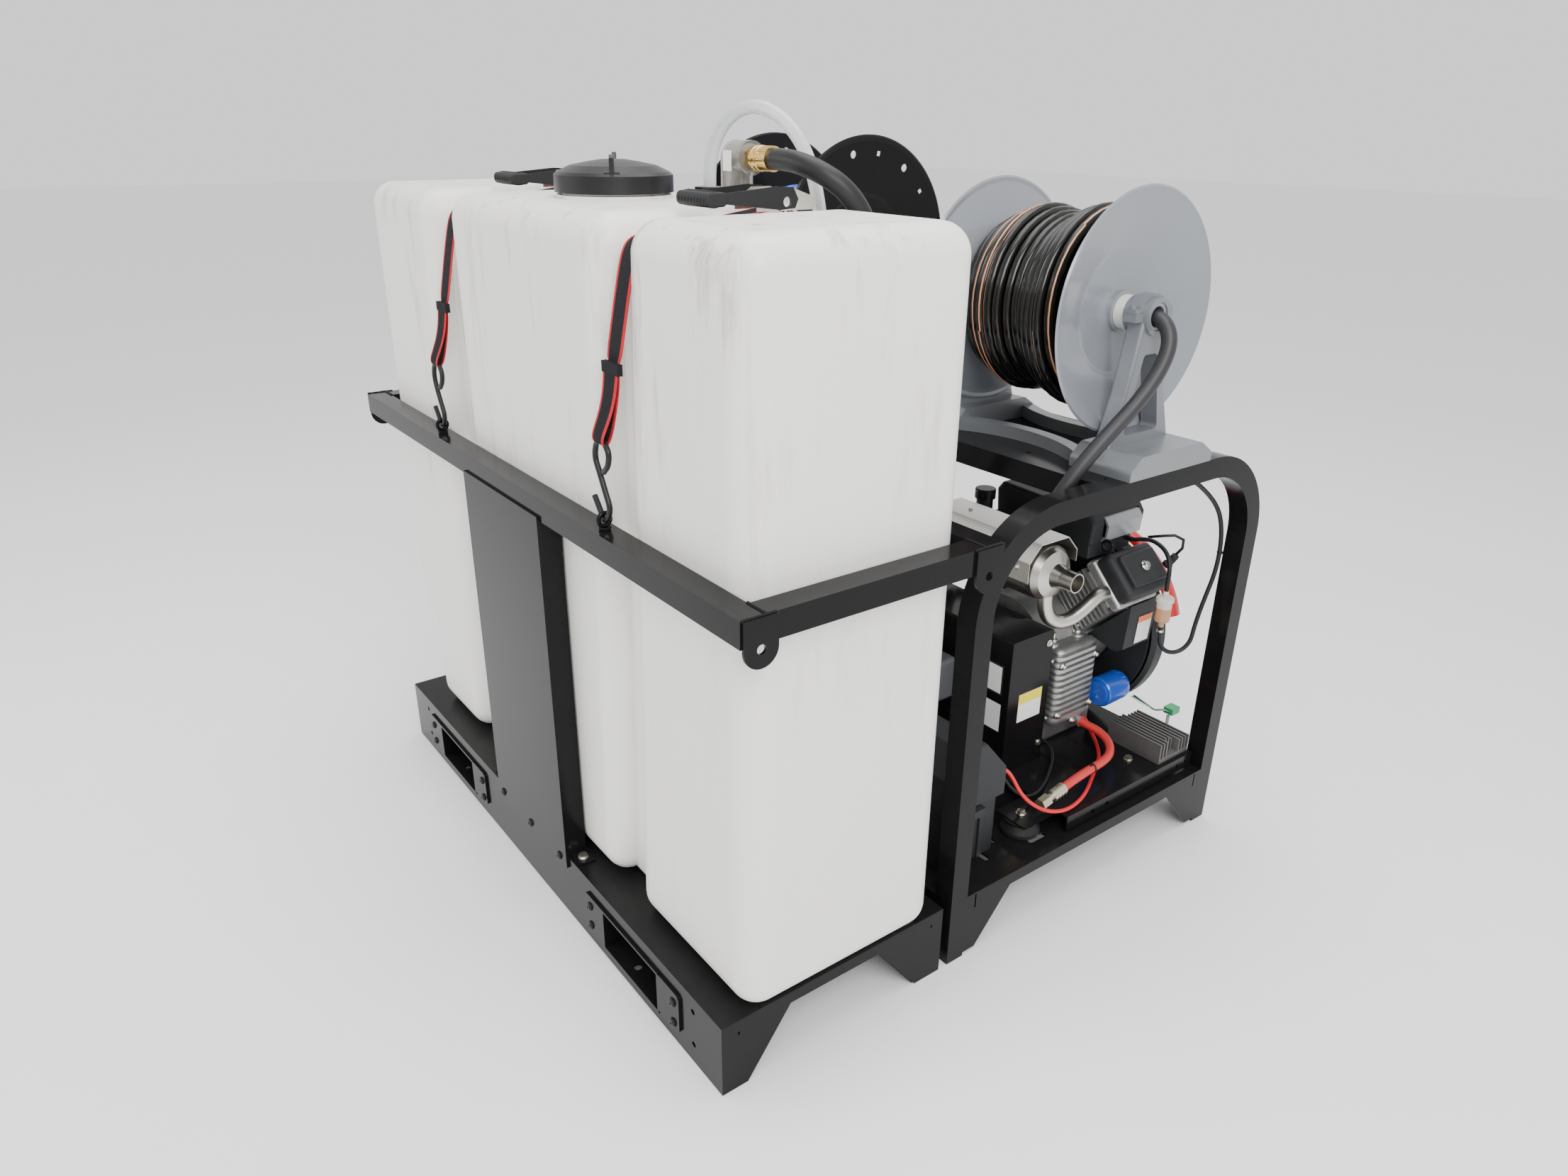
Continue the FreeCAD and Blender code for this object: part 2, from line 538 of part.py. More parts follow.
CABLE_BLACK = ((1380, 750, 331), (1380, 768, 331), (1381, 784, 328), (1384, 798, 317), (1389, 811, 298),
               (1395, 823, 275), (1402, 837, 252), (1409, 856, 231), (1412, 880, 214), (1410, 910, 205),
               (1402, 942, 201), (1389, 972, 199), (1374, 1001, 198.5), (1357, 1029, 199), (1341, 1055, 200),
               (1323, 1078, 203), (1302, 1094, 208), (1282, 1100, 212), (1262, 1100, 212))


# ---------------------------------------------------------------- machine skid
def machine_deck():
    x0, x1 = 0.0, SKID_L
    y0, y1 = HOOP_Y0, HOOP_Y1
    z = MDECK_Z
    pieces = [box(x0, x1, y0 + TUBE, y1 - TUBE, z - SHEET, z)]
    pieces.append(box(x0 + TUBE, x1 - TUBE, y0, y0 + TUBE, z - SHEET, z))
    pieces.append(box(x0 + TUBE, x1 - TUBE, y1 - TUBE, y1, z - SHEET, z))
    for y in (y0, y1 - SHEET):
        pieces.append(box(x0 + TUBE, x1 - TUBE, y, y + SHEET, 90, z - SHEET))
    for x in (x0, x1 - SHEET):
        pieces.append(box(x, x + SHEET, y0 + TUBE, y1 - TUBE, 122, z - SHEET))
        pieces.append(prism([(594, 8), (627, 8), (742, z - SHEET), (594, z - SHEET)], AX, x, x + SHEET))
        pieces.append(prism([(1391, 8), (1358, 8), (1243, z - SHEET), (1391, z - SHEET)], AX, x, x + SHEET))
    for low, high in ((TUBE, 150.0), (SKID_L - 150.0, SKID_L - TUBE)):
        near = low if low < 100 else high
        far = high if low < 100 else low
        tip = near + (30 if low < 100 else -30)
        for y in (y0, y1 - SHEET):
            pieces.append(prism([(near, 8), (tip, 8), (far, 95), (near, 95)], AY, y, y + SHEET))
    body = join(pieces)
    tools = [slot_z(1447, 716, 34, 15, z - 10, z + 1), slot_z(1421, 771, 18, 12, z - 10, z + 1),
             slot_z(1472, 858, 50, 15, z - 10, z + 1, AY), slot_z(1448, 1280, 50, 15, z - 10, z + 1, AY)]
    tools += [slot_z(SKID_L - x, y, 34, 15, z - 10, z + 1) for x, y in ((1447, 716), (1472, 858), (1448, 1280))]
    for x in (-1.0, x1 - SHEET - 1):
        tools += [box(x, x + SHEET + 2, y, y + 4, 112, z - SHEET + 1) for y in (617, 1364)]
    return cut(body, tools)


def hoop(x):
    """Bent square-tube hoop in the Y-Z plane, standing on the floor."""
    def arch(inset, low):
        y0, y1 = HOOP_Y0 + inset, HOOP_Y1 - inset
        top = HOOP_TOP - inset
        r = HOOP_R - inset
        c45 = math.sqrt(0.5)
        left = V(x, HOOP_Y0 + HOOP_R, HOOP_TOP - HOOP_R)
        right = V(x, HOOP_Y1 - HOOP_R, HOOP_TOP - HOOP_R)
        edges = [Part.LineSegment(V(x, y0, low), V(x, y0, left.z)).toShape(),
                 Part.Arc(V(x, y0, left.z), left + V(0, -r * c45, r * c45), V(x, left.y, top)).toShape(),
                 Part.LineSegment(V(x, left.y, top), V(x, right.y, top)).toShape(),
                 Part.Arc(V(x, right.y, top), right + V(0, r * c45, r * c45), V(x, y1, right.z)).toShape(),
                 Part.LineSegment(V(x, y1, right.z), V(x, y1, low)).toShape(),
                 Part.LineSegment(V(x, y1, low), V(x, y0, low)).toShape()]
        return Part.Face(Part.Wire(edges))
    solid = arch(0, 0).extrude(AX * TUBE).cut(arch(TUBE, -1).extrude(AX * TUBE))
    hollow = arch(TUBE_WALL, 3).extrude(AX * (TUBE - 2 * TUBE_WALL))
    hollow = hollow.cut(arch(TUBE - TUBE_WALL, 2).extrude(AX * (TUBE - 2 * TUBE_WALL)))
    hollow.translate(V(TUBE_WALL, 0, 0))
    return solid.cut(hollow)


BRIDGE_Y0, BRIDGE_Y1 = 880.0, 1236.0


def reel_bridge():
    """Two cross tubes between the hoops and the sheet that the reels stand on."""
    z0 = HOOP_TOP - TUBE
    x0, x1 = TUBE, SKID_L - TUBE
    tubes = [square_tube_x(x0, x1, y, z0) for y in (BRIDGE_Y0, BRIDGE_Y1 - TUBE)]
    sheet = box(x0, x1, BRIDGE_Y0 + TUBE, BRIDGE_Y1 - TUBE, HOOP_TOP - 4, HOOP_TOP)
    holes = [rod(x, 938, HOOP_TOP - 6, AZ, 6, 8) for x in (650, 962, 1274)]
    return cut(join(tubes + [sheet]), holes)


def engine_plate():
    """Folded tray under the engine, with two front tabs that sit on the front isolators."""
    pieces = [box(PLATE_X0, PLATE_X1, PLATE_Y0, PLATE_Y1, PLATE_Z - 4, PLATE_Z)]
    for x in (PLATE_X0, PLATE_X1 - 4):
        pieces.append(box(x, x + 4, PLATE_Y0, PLATE_Y1, PLATE_Z - 36, PLATE_Z - 4))
    for x in ISOLATOR_X:
        pieces.append(box(x - 42, x + 42, 815, PLATE_Y0, PLATE_Z - 4, PLATE_Z))
    body = join(pieces)
    tools = [rod(x, y, PLATE_Z - 5, AZ, 5.5, 6) for x in ISOLATOR_X for y in ISOLATOR_Y]
    for y in (1011, 1060, 1321, 1352):
        tools.append(rod(PLATE_X1 - 5, y, PLATE_Z - 20, AX, 6, 6))
    return cut(body, tools)


ISOLATOR_X = (832.0, 1430.0)
ISOLATOR_Y = (850.0, 1225.0)


def isolator(x, y):
    height = PLATE_Z - 4 - MDECK_Z
    profile = [(0, 0), (42, 0), (44, 4), (44, 12), (36, height - 10), (40, height - 4), (40, height), (0, height)]
    puck = lathe(profile, V(x, y, MDECK_Z), AZ)
    return puck.cut(rod(x, y, MDECK_Z - 1, AZ, 5, height + 2))


# ---------------------------------------------------------------- belt drive and pump
def belt_guard():
    """Folded sheet box round the two pulleys, open underneath over the sub-plate."""
    t = 3.0
    outer = box(GUARD_X0, GUARD_X1, GUARD_Y0, GUARD_Y1, PLATE_Z, GUARD_TOP)
    outer = rounded(outer, 6, lambda e: runs(AX)(e) and e.BoundBox.ZMin > GUARD_TOP - 1)
    inner = box(GUARD_X0 + t, GUARD_X1 - t, GUARD_Y0 + t, GUARD_Y1 - t, PLATE_Z - 1, GUARD_TOP - t)
    shell = outer.cut(inner)
    tools = [rod(CRANK.x, GUARD_Y1 - t - 1, CRANK.z, AY, 30, t + 2),
             rod(PUMP.x, GUARD_Y0 - 1, PUMP.z, AY, 24, t + 2)]
    tools += [rod(GUARD_X1 - t - 1, y, z, AX, 3.2, t + 2) for y, z in GUARD_BOLTS]
    return cut(shell, tools)


GUARD_BOLTS = ((1046.0, 500.0), (1046.0, 239.0))


def guard_bolt(y, z):
    return join([hexagon(GUARD_X1, y, z, AX, 10, 5), rod(GUARD_X1 - 8, y, z, AX, 3, 8),
                 rod(GUARD_X1, y, z, AX, 8, 1.2)])


def v_pulley(centre, r, y0):
    """Two-groove pulley with a hub, its shaft axis along Y."""
    rim = [(12, 0), (r, 0), (r, 3), (r - 11, 8), (r - 11, 11), (r, 16), (r, 19), (r - 11, 24), (r - 11, 27),
           (r, 32), (r, 35), (12, 35)]
    return lathe(rim, V(centre.x, y0, centre.z), AY)


PULLEY_Y0 = 975.0


def crankshaft():
    shaft = rod(CRANK.x, 965, CRANK.z, AY, 12.5, 385)
    pulley = v_pulley(CRANK, CRANK_PULLEY_R, PULLEY_Y0)
    blades = []
    for i in range(14):
        blade = box(42, 147, -2, 2, 3, 26)
        blade.rotate(V(0, 0, 0), AZ, 360.0 * i / 14)
        blades.append(blade)
    disc = lathe([(13, 0), (150, 0), (150, 5), (34, 5), (34, 28), (13, 28)], V(0, 0, 0), AZ)
    fan = join([disc] + blades)
    fan.rotate(V(0, 0, 0), AX, -90)
    fan.translate(V(CRANK.x, 1340, CRANK.z))
    return [join([shaft, pulley]), fan]


def pump_pulley():
    hub = v_pulley(PUMP, PUMP_PULLEY_R, PULLEY_Y0)
    shaft = rod(PUMP.x, 905, PUMP.z, AY, 12.5, 110)
    return join([hub, shaft])


def drive_belt(y0):
    """One V-belt as a closed loop round both pulleys, clear of the groove flanks."""
    width = 5.6
    r1, r2 = CRANK_PULLEY_R - 3.0, PUMP_PULLEY_R - 3.0
    dx, dz = PUMP.x - CRANK.x, PUMP.z - CRANK.z
    span = math.hypot(dx, dz)
    tilt = math.atan2(dz, dx)
    lean = math.acos((r1 - r2) / span)
    def loop(extra):
        spots = []
        for centre, r in ((CRANK, r1), (PUMP, r2)):
            for side in (1, -1):
                a = tilt + side * lean
                spots.append(V(centre.x + (r + extra) * math.cos(a), y0, centre.z + (r + extra) * math.sin(a)))
        back = V(CRANK.x - (r1 + extra) * math.cos(tilt), y0, CRANK.z - (r1 + extra) * math.sin(tilt))
        front = V(PUMP.x + (r2 + extra) * math.cos(tilt), y0, PUMP.z + (r2 + extra) * math.sin(tilt))
        edges = [Part.Arc(spots[0], back, spots[1]).toShape(),
                 Part.LineSegment(spots[1], spots[3]).toShape(),
                 Part.Arc(spots[3], front, spots[2]).toShape(),
                 Part.LineSegment(spots[2], spots[0]).toShape()]
        return Part.Face(Part.Wire(edges)).extrude(AY * width)
    return loop(2.6).cut(loop(-4.0))


def pump_body():
    """Triplex pump crankcase on its pedestal, with the shaft nose that enters the guard."""
    y0, y1 = 790.0, 905.0
    case = rounded(box(845, 965, y0, y1, 320, 440), 12)
    fins = [box(850, 960, y0 - 5, y0 + 2, 330 + 14 * i, 335 + 14 * i) for i in range(7)]
    nose = rod(PUMP.x, y1 - 2, PUMP.z, AY, 34, GUARD_Y0 - y1 + 2)
    stand = box(882, 960, 800, 895, MDECK_Z, 325)
    cover = rounded(box(965, 1160, 800, 900, 345, 450), 10)
    cap = rod(1080, 850, 446, AZ, 12, 16)
    filled = join([case, nose, stand, cover, cap] + fins)
    bore = rod(PUMP.x, 903, PUMP.z, AY, 12.5 + FIT, 40)
    return filled.cut(bore)


def pump_head():
    """Brass manifold with its six valve caps."""
    block = rounded(box(760, 845, 792, 903, 335, 425), 5)
    caps = [rod(780, 812 + 36 * i, 424, AZ, 13, 12) for i in range(3)]
    caps += [rod(812, 812 + 36 * i, 424, AZ, 13, 12) for i in range(3)]
    return join([block] + caps)


def pump_manifold():
    """Brass port block on the pump's cover with the three hose tails."""
    block = box(890, 1034, 826, 866, 450, 480)
    ends = (CLEAR_HOSE[-1], SUPPLY_HOSE[-1], REEL_HOSE[-1])
    tails = [rod(x, y, 478, AZ, 12, z - 478) for x, y, z in ends]
    collars = [hexagon(x, y, 480, AZ, 32, 12) for x, y, z in ends]
    return join([block] + tails + collars)


# ---------------------------------------------------------------- engine
def rounded_block(x0, x1, y0, y1, z0, z1, r):
    return rounded(box(x0, x1, y0, y1, z0, z1), r)


def crankcase():
    """Engine block: sump, crank chamber, the two finned barrels of the V and the finned side cover."""
    sump = rounded_block(1040, 1262, 1076, 1286, PLATE_Z, 330, 14)
    chamber = rod(CRANK.x, 1066, CRANK.z, AY, 118, 258)
    pieces = [sump, chamber]
    for side in (1, -1):
        for i in range(9):
            r = 106 + 14 * i
            fin = box(-58, 58, -62, 62, r, r + 5)
            fin.rotate(V(0, 0, 0), AY, 45 * side)
            fin.translate(V(CRANK.x, CYL_Y, CRANK.z))
            pieces.append(fin)
        barrel = box(-46, 46, -50, 50, 60, 234)
        barrel.rotate(V(0, 0, 0), AY, 45 * side)
        barrel.translate(V(CRANK.x, CYL_Y, CRANK.z))
        pieces.append(barrel)
    cover = rounded_block(1225, 1312, 1078, 1222, 262, 470, 22)
    body = join(pieces + [cover])
    tools = []
    for i in range(11):
        z = 292 + 16 * i
        ring = box(1200, 1330, 1060, 1240, z, z + 8).cut(rounded_block(1200, 1302, 1088, 1212, z - 20, z + 30, 14))
        tools.append(ring.cut(box(1190, 1226, 1050, 1250, z - 1, z + 9)))
    body = cut(body, tools)
    body = join([body, rod(1262, 1180, 256, AX, 13, 54)])
    return body.cut(rod(CRANK.x, 900, CRANK.z, AY, 12.5 + FIT, 480))


def cylinder_head(side):
    head = rounded(box(-64, 64, -62, 80, 234.2, 262), 8)
    head.rotate(V(0, 0, 0), AY, 45 * side)
    head.translate(V(CRANK.x, CYL_Y, CRANK.z))
    return head


def valve_cover(side):
    base = rounded(box(-58, 58, -56, 100, 262.4, 302), 16, lambda e: e.BoundBox.ZMax > 270)
    step = rounded(box(-40, 40, -38, 82, 300, 314), 7, lambda e: e.BoundBox.ZMax > 305)
    cover = join([base, step])
    cover.rotate(V(0, 0, 0), AY, 45 * side)
    cover.translate(V(CRANK.x, CYL_Y, CRANK.z))
    return cover


FAN_Y0, FAN_Y1 = 1330.0, 1408.0
FAN_R = 232.0


def fan_housing():
    """Round cooling shroud round the flywheel, with a side cowl towards each cylinder head."""
    profile = [(0, 0), (FAN_R - 14, 0), (FAN_R, 14), (FAN_R, 44), (FAN_R - 20, 64), (FAN_R - 70, 78), (0, 78)]
    drum = lathe(profile, V(CRANK.x, FAN_Y0, CRANK.z), AY)
    hollow = lathe([(0, 0), (FAN_R - 12, 0), (FAN_R - 5, 16), (FAN_R - 5, 42), (FAN_R - 24, 59), (FAN_R - 74, 73),
                    (0, 73)], V(CRANK.x, FAN_Y0 - 1, CRANK.z), AY)
    shell = drum.cut(hollow)
    back = pipe(CRANK.x, FAN_Y0 - 3, CRANK.z, AY, FAN_R - 14, 128, 5)
    grille = [rod(CRANK.x + 28 * math.cos(a) * k, FAN_Y1 - 6, CRANK.z + 28 * math.sin(a) * k, AY, 8, 12)
              for k in (1.2, 2.1, 3.0, 3.9) for a in [2 * math.pi * i / (6 * k) for i in range(int(6 * k))]]
    return cut(join([shell, back]), grille)


def side_cowl():
    """Sheet duct under the visible cylinder that leads the fan's air across its fins."""
    outer = prism([(1270, 463), (1350, 445), (1370, 458), (1377, 571)], AY, 1226, FAN_Y0 - 4)
    inner = prism([(1282, 464), (1348, 449), (1366, 460), (1372, 558)], AY, 1230, FAN_Y0 - 3)
    return outer.cut(inner)


def air_cleaner():
    base = rounded_block(1030, 1290, 1160, 1310, 674, 712, 4)
    body = prism([(1010, 706), (1296, 706), (1300, 760), (1284, 782), (1020, 790), (1004, 770)], AY, 1156, 1340)
    body = rounded(body, 9)
    neck = rod(OIL_CAP.x, OIL_CAP.y, 676, AZ, 20, 76)
    arm = box(OIL_CAP.x - 14, 1044, OIL_CAP.y, 1164, 676, 704)
    filled = join([base, body, neck, arm])
    return filled.cut(box(LATCH_X - 6, LATCH_X + 40, 1192, 1322, 712, 772))


LATCH_X = 1284.0


def air_latch():
    """Spring-steel band latch, hinged at its lower edge on the air cleaner's side."""
    band = prism([(LATCH_X + 10, 716), (LATCH_X + 22, 716), (LATCH_X + 26, 752), (LATCH_X + 14, 768),
                  (LATCH_X + 2, 770), (LATCH_X + 2, 766), (LATCH_X + 12, 763), (LATCH_X + 20, 750),
                  (LATCH_X + 18, 722), (LATCH_X + 10, 722)], AY, 1196, 1318)
    pin = rod(1300, 1190, 716, AY, 3, 134)
    return join([band, pin])


OIL_CAP = V(1004.0, 1118.0, 752.6)


def oil_cap():
    cap = rod(OIL_CAP.x, OIL_CAP.y, OIL_CAP.z, AZ, 25, 24)
    cap = rounded(cap, 3, lambda e: e.BoundBox.ZMin > OIL_CAP.z + 20)
    notches = []
    for i in range(20):
        a = 2 * math.pi * i / 20
        notches.append(rod(OIL_CAP.x + 25.5 * math.cos(a), OIL_CAP.y + 25.5 * math.sin(a), OIL_CAP.z + 3, AZ, 1.6, 14))
    return cut(cap, notches)


MUFFLER_Y, MUFFLER_Z = 1012.0, 683.0


def muffler():
    """Cylinder with domed ends, the tail pipe and the two header pipes."""
    body = lathe([(0, 0), (30, 3), (52, 12), (62, 26), (65, 40), (65, 318), (62, 332), (52, 346), (30, 356), (0, 359)],
                 V(972, MUFFLER_Y, MUFFLER_Z), AX)
    tail = lathe([(18, 0), (30, 0), (22, 22), (22, 56), (19.5, 56), (19.5, 22)], V(1325, MUFFLER_Y, MUFFLER_Z), AX)
    header = [V(1300, 1012, 640), V(1301, 1013, 604), V(1306, 1022, 574), V(1316, 1044, 558), V(1326, 1075, 562),
              V(1332, 1107, 579), V(1335, 1136, 597), V(1335, 1157, 604), V(1335, 1178, 604)]
    wire = arc_path(header)[0]
    ring = Part.Wire(Part.makeCircle(17, header[0], header[1] - header[0]))
    pipe_right = wire.makePipeShell([ring], True, False)
    pipe_left = pipe_right.mirror(V(CRANK.x, 0, 0), AX)
    return join([body, tail, pipe_right, pipe_left])


def heat_shield():
    """Folded faceted sheet over the muffler on short standoffs."""
    t = 1.5
    outer = [(-78, -6), (-78, 40), (-44, 76), (44, 76), (78, 40), (78, 12)]
    inner = [(y * (1 - t / 78), z - t * 1.2) for y, z in outer]
    inner[0] = (outer[0][0] + t, outer[0][1])
    inner[-1] = (outer[-1][0] - t, outer[-1][1])
    points = [(MUFFLER_Y + y, MUFFLER_Z + z) for y, z in outer + inner[::-1]]
    sheet = prism(points, AX, 985, 1312)
    studs = []
    for x in (1060, 1240):
        studs.append(rod(x, MUFFLER_Y, MUFFLER_Z + 65, AZ, 7, 9.4))
        studs.append(hexagon(x, MUFFLER_Y, MUFFLER_Z + 76, AZ, 10, 4))
    side = rod(1275, MUFFLER_Y - 79.2, MUFFLER_Z + 22, AY, 9, 2)
    side_head = hexagon(1275, MUFFLER_Y - 78, MUFFLER_Z + 22, AY * -1, 10, 5)
    tabs = rod(1275, MUFFLER_Y - 78, MUFFLER_Z + 22, AY, 5, 14)
    return [join([sheet] + studs), join([side, side_head, tabs]).cut(sheet)]


def oil_filter():
    can = lathe([(0, 0), (34, 0), (37, 4), (37, 66), (35, 76), (30, 82), (0, 84)], V(1318, 1229, 322), AY)
    flutes = []
    for i in range(14):
        a = 2 * math.pi * i / 14
        flutes.append(rod(1318 + 39 * math.cos(a), 1288, 322 + 39 * math.sin(a), AY, 4, 24))
    base = rod(1318, 1222.2, 322, AY, 30, 8)
    return join([cut(can, flutes), base])


def fuel_filter():
    """Clear in-line filter bowl with its white top and the two hose stubs, axis nearly upright."""
    profile = [(0, 0), (6, 0), (6, 12), (15, 14), (17, 18), (17, 62), (20, 63), (20, 71), (17, 74), (6, 76), (6, 88),
               (0, 88)]
    return lathe(profile, V(1430, 1271, 530), AZ)


def rectifier():
    """Finned regulator heat sink on the sub-plate."""
    x0, x1, y0, y1 = 1340.0, 1488.0, 1262.0, 1374.0
    parts = [box(x0, x1, y0, y1, PLATE_Z, PLATE_Z + 12)]
    count = 10
    step = (y1 - y0 - 4) / (count - 1)
    for i in range(count):
        high = PLATE_Z + (52 if i < 5 else 44)
        short = 14 if i in (3, 4, 5) else 0
        parts.append(box(x0, x1 - short, y0 + step * i, y0 + step * i + 4, PLATE_Z + 10, high))
    return join(parts)


# ---------------------------------------------------------------- battery
BAT_X0, BAT_X1, BAT_Y0, BAT_Y1 = 1165.0, 1440.0, 606.0, 758.0
BAT_TOP = 312.0


def battery_box():
    outer = rounded(box(BAT_X0, BAT_X1, BAT_Y0, BAT_Y1, MDECK_Z, BAT_TOP), 14, runs(AZ))
    inner = rounded(box(BAT_X0 + 4, BAT_X1 - 4, BAT_Y0 + 4, BAT_Y1 - 4, MDECK_Z + 4, BAT_TOP + 1), 10, runs(AZ))
    shell = outer.cut(inner)
    ribs = [box(BAT_X1 - 2, BAT_X1 + 5, y, y + 12, MDECK_Z, 262) for y in (640, 700)]
    strap_lug = box(BAT_X1 - 2, BAT_X1 + 14, 650, 706, 262, 280)
    return join([shell, strap_lug] + ribs)


def battery():
    case = box(BAT_X0 + 8, BAT_X1 - 8, BAT_Y0 + 8, BAT_Y1 - 8, MDECK_Z + 4, 338)
    posts = [rod(x, BAT_Y1 - 34, 338, AZ, 9, 16) for x in (BAT_X0 + 40, BAT_X1 - 40)]
    return join([case] + posts)


def battery_lid():
    """Deep slanted cover that drops over the box."""
    y0, y1 = BAT_Y0 - 6, BAT_Y1 + 6
    z0 = BAT_TOP - 22
    outline = [(y0, z0), (y1, z0), (y1, 358), (700, 432), (640, 432), (y0, 372)]
    outer = prism(outline, AX, BAT_X0 - 6, BAT_X1 + 8)
    outer = rounded(outer, 5, lambda e: e.BoundBox.ZMin > z0 + 1)
    inner_outline = [(y0 + 5, z0 - 1), (y1 - 5, z0 - 1), (y1 - 5, 355), (698, 426), (642, 426), (y0 + 5, 369)]
    inner = prism(inner_outline, AX, BAT_X0 - 1, BAT_X1 + 3)
    lug_room = box(BAT_X1 - 4, BAT_X1 + 20, 646, 710, z0 - 1, z0 + 2)
    outlet = [box(x - 7, x + 7, y1 - 10, y1 + 2, z0 - 1, 340) for x in (1380, 1420)]
    return cut(outer.cut(inner), [lug_room] + outlet)


# ---------------------------------------------------------------- reels
def dished_disc(x_rim, x_hub, r, r_hub, t):
    """Spun reel side: flat middle, a conical flare and a rolled rim; x_rim is the rim's outer face."""
    d = 1 if x_rim > x_hub else -1
    profile = [(r_hub, x_hub), (118, x_hub), (128, x_hub + 3 * d), (r - 12, x_rim - 6 * d), (r - 4, x_rim - 6 * d),
               (r, x_rim - 3 * d), (r - 4, x_rim), (r - 14, x_rim - 3 * d), (128, x_hub + (3 + t) * d),
               (118, x_hub + t * d), (r_hub, x_hub + t * d)]
    return profile


def grey_drum():
    axis_at = V(0, REEL_Y, GREY_Z)
    near = lathe(dished_disc(GREY_X1, GREY_X1 - DISH, GREY_R, 26, 3), axis_at, AX)
    far = lathe(dished_disc(GREY_X0, GREY_X0 + DISH, GREY_R, 26, 3), axis_at, AX)
    core = pipe(GREY_X0 + DISH, REEL_Y, GREY_Z, AX, 78, 74, GREY_X1 - GREY_X0 - 2 * DISH)
    boss = [pipe(GREY_X1 - DISH, REEL_Y, GREY_Z, AX, 40, 26, 10), pipe(GREY_X0 + DISH - 10, REEL_Y, GREY_Z, AX, 40, 26, 10)]
    axle = pipe(GREY_X0 - 44, REEL_Y, GREY_Z, AX, AXLE_R, 20, GREY_X1 - GREY_X0 + 88)
    return join([near, far, core, axle] + boss)


def reel_bushes():
    """White plastic thrust bushes on the grey reel's axle, between each disc and its bearing."""
    near = pipe(GREY_X1 - DISH + 10 + GAP, REEL_Y, GREY_Z, AX, 33, AXLE_R + FIT, 24)
    far = pipe(GREY_X0 + DISH - 10 - GAP - 24, REEL_Y, GREY_Z, AX, 33, AXLE_R + FIT, 24)
    return [near, far]


def reel_swivel():
    """Brass swivel stub inside the hollow axle, where the feed hose is pushed on."""
    x_end = REEL_HOSE[0][0]
    stub = rod(x_end - 60, REEL_Y, GREY_Z, AX, 13, 60)
    seal = rod(x_end - 60, REEL_Y, GREY_Z, AX, 20 - FIT, 14)
    return join([stub, seal])


def fuel_tap():
    """Small brass outlet under the front of the bridge's rear tube, where the fuel line begins."""
    x, y, z = FUEL_LOWER[0]
    block = box(x - 22, x - 6, y - 9, y + 9, z - 8, HOOP_TOP - TUBE)
    return join([block, rod(x - 8, y, z, AX, 4, 8)])


def pack(x0, x1, centre_z, r_core, radii):
    """Outer shape of the hose wound on a drum: a turned profile with the given radii."""
    step = (x1 - x0) / (len(radii) - 1)
    profile = [(r_core, x0)] + [(r, x0 + step * i) for i, r in enumerate(radii)] + [(r_core, x1)]
    return lathe(profile, V(0, REEL_Y, centre_z), AX)


def grey_reel_stand():
    """Cast stand: an A-frame arm and split bearing at each end, a foot under each arm, a curved base."""
    pieces = []
    ends = (GREY_X1 + 3, GREY_X0 - 3 - ARM_T)
    for x0, foot0, foot1, hub0 in zip(ends, (1380.0, 976.0), (1526.0, 1064.0), (1399.0, 989.0)):
        x1 = x0 + ARM_T
        outer = [(REEL_Y - 34, GREY_Z), (REEL_Y - 46, 1180), (REEL_Y - 62, 1100), (REEL_Y - 96, 998),
                 (REEL_Y + 96, 998), (REEL_Y + 62, 1100), (REEL_Y + 46, 1180), (REEL_Y + 34, GREY_Z)]
        arm = rounded(prism(outer, AX, x0, x1), 6, lambda e: e.BoundBox.ZMax < GREY_Z - 5 and not runs(AY)(e))
        window = rounded(prism([(REEL_Y - 20, 1176), (REEL_Y - 54, 1022), (REEL_Y + 54, 1022), (REEL_Y + 20, 1176)],
                               AX, x0 - 1, x1 + 1), 9, runs(AX))
        foot = prism([(REEL_Y - 120, HOOP_TOP), (REEL_Y + 140, HOOP_TOP), (REEL_Y + 140, 978), (REEL_Y + 100, 1004),
                      (REEL_Y - 90, 1004), (REEL_Y - 120, 978)], AX, foot0, foot1)
        foot = rounded(foot, 12, lambda e: runs(AX)(e) and e.BoundBox.ZMin > 970)
        pieces += [arm.cut(window), foot, rod(hub0, REEL_Y, GREY_Z, AX, 36, 56)]
        for y in (REEL_Y - 44, REEL_Y + 44):
            pieces.append(box(x0 + 4, x0 + 34, y - 12, y + 12, GREY_Z - 8, GREY_Z + 8))

    def bow(y_edge, sign):
        """One long curved rail of the base between the feet."""
        xa, xb = 1060.0, 1384.0
        xm = (xa + xb) / 2
        inner = y_edge - sign * 34
        edges = [Part.Arc(V(xa, y_edge, HOOP_TOP), V(xm, y_edge - sign * 46, HOOP_TOP), V(xb, y_edge, HOOP_TOP)).toShape(),
                 Part.LineSegment(V(xb, y_edge, HOOP_TOP), V(xb, inner, HOOP_TOP)).toShape(),
                 Part.Arc(V(xb, inner, HOOP_TOP), V(xm, inner - sign * 40, HOOP_TOP), V(xa, inner, HOOP_TOP)).toShape(),
                 Part.LineSegment(V(xa, inner, HOOP_TOP), V(xa, y_edge, HOOP_TOP)).toShape()]
        return Part.Face(Part.Wire(edges)).extrude(V(0, 0, 26))
    pieces += [bow(REEL_Y - 112, -1), bow(REEL_Y + 132, 1)]
    body = join(pieces)
    return body.cut(rod(940, REEL_Y, GREY_Z, AX, AXLE_R + FIT, 560))


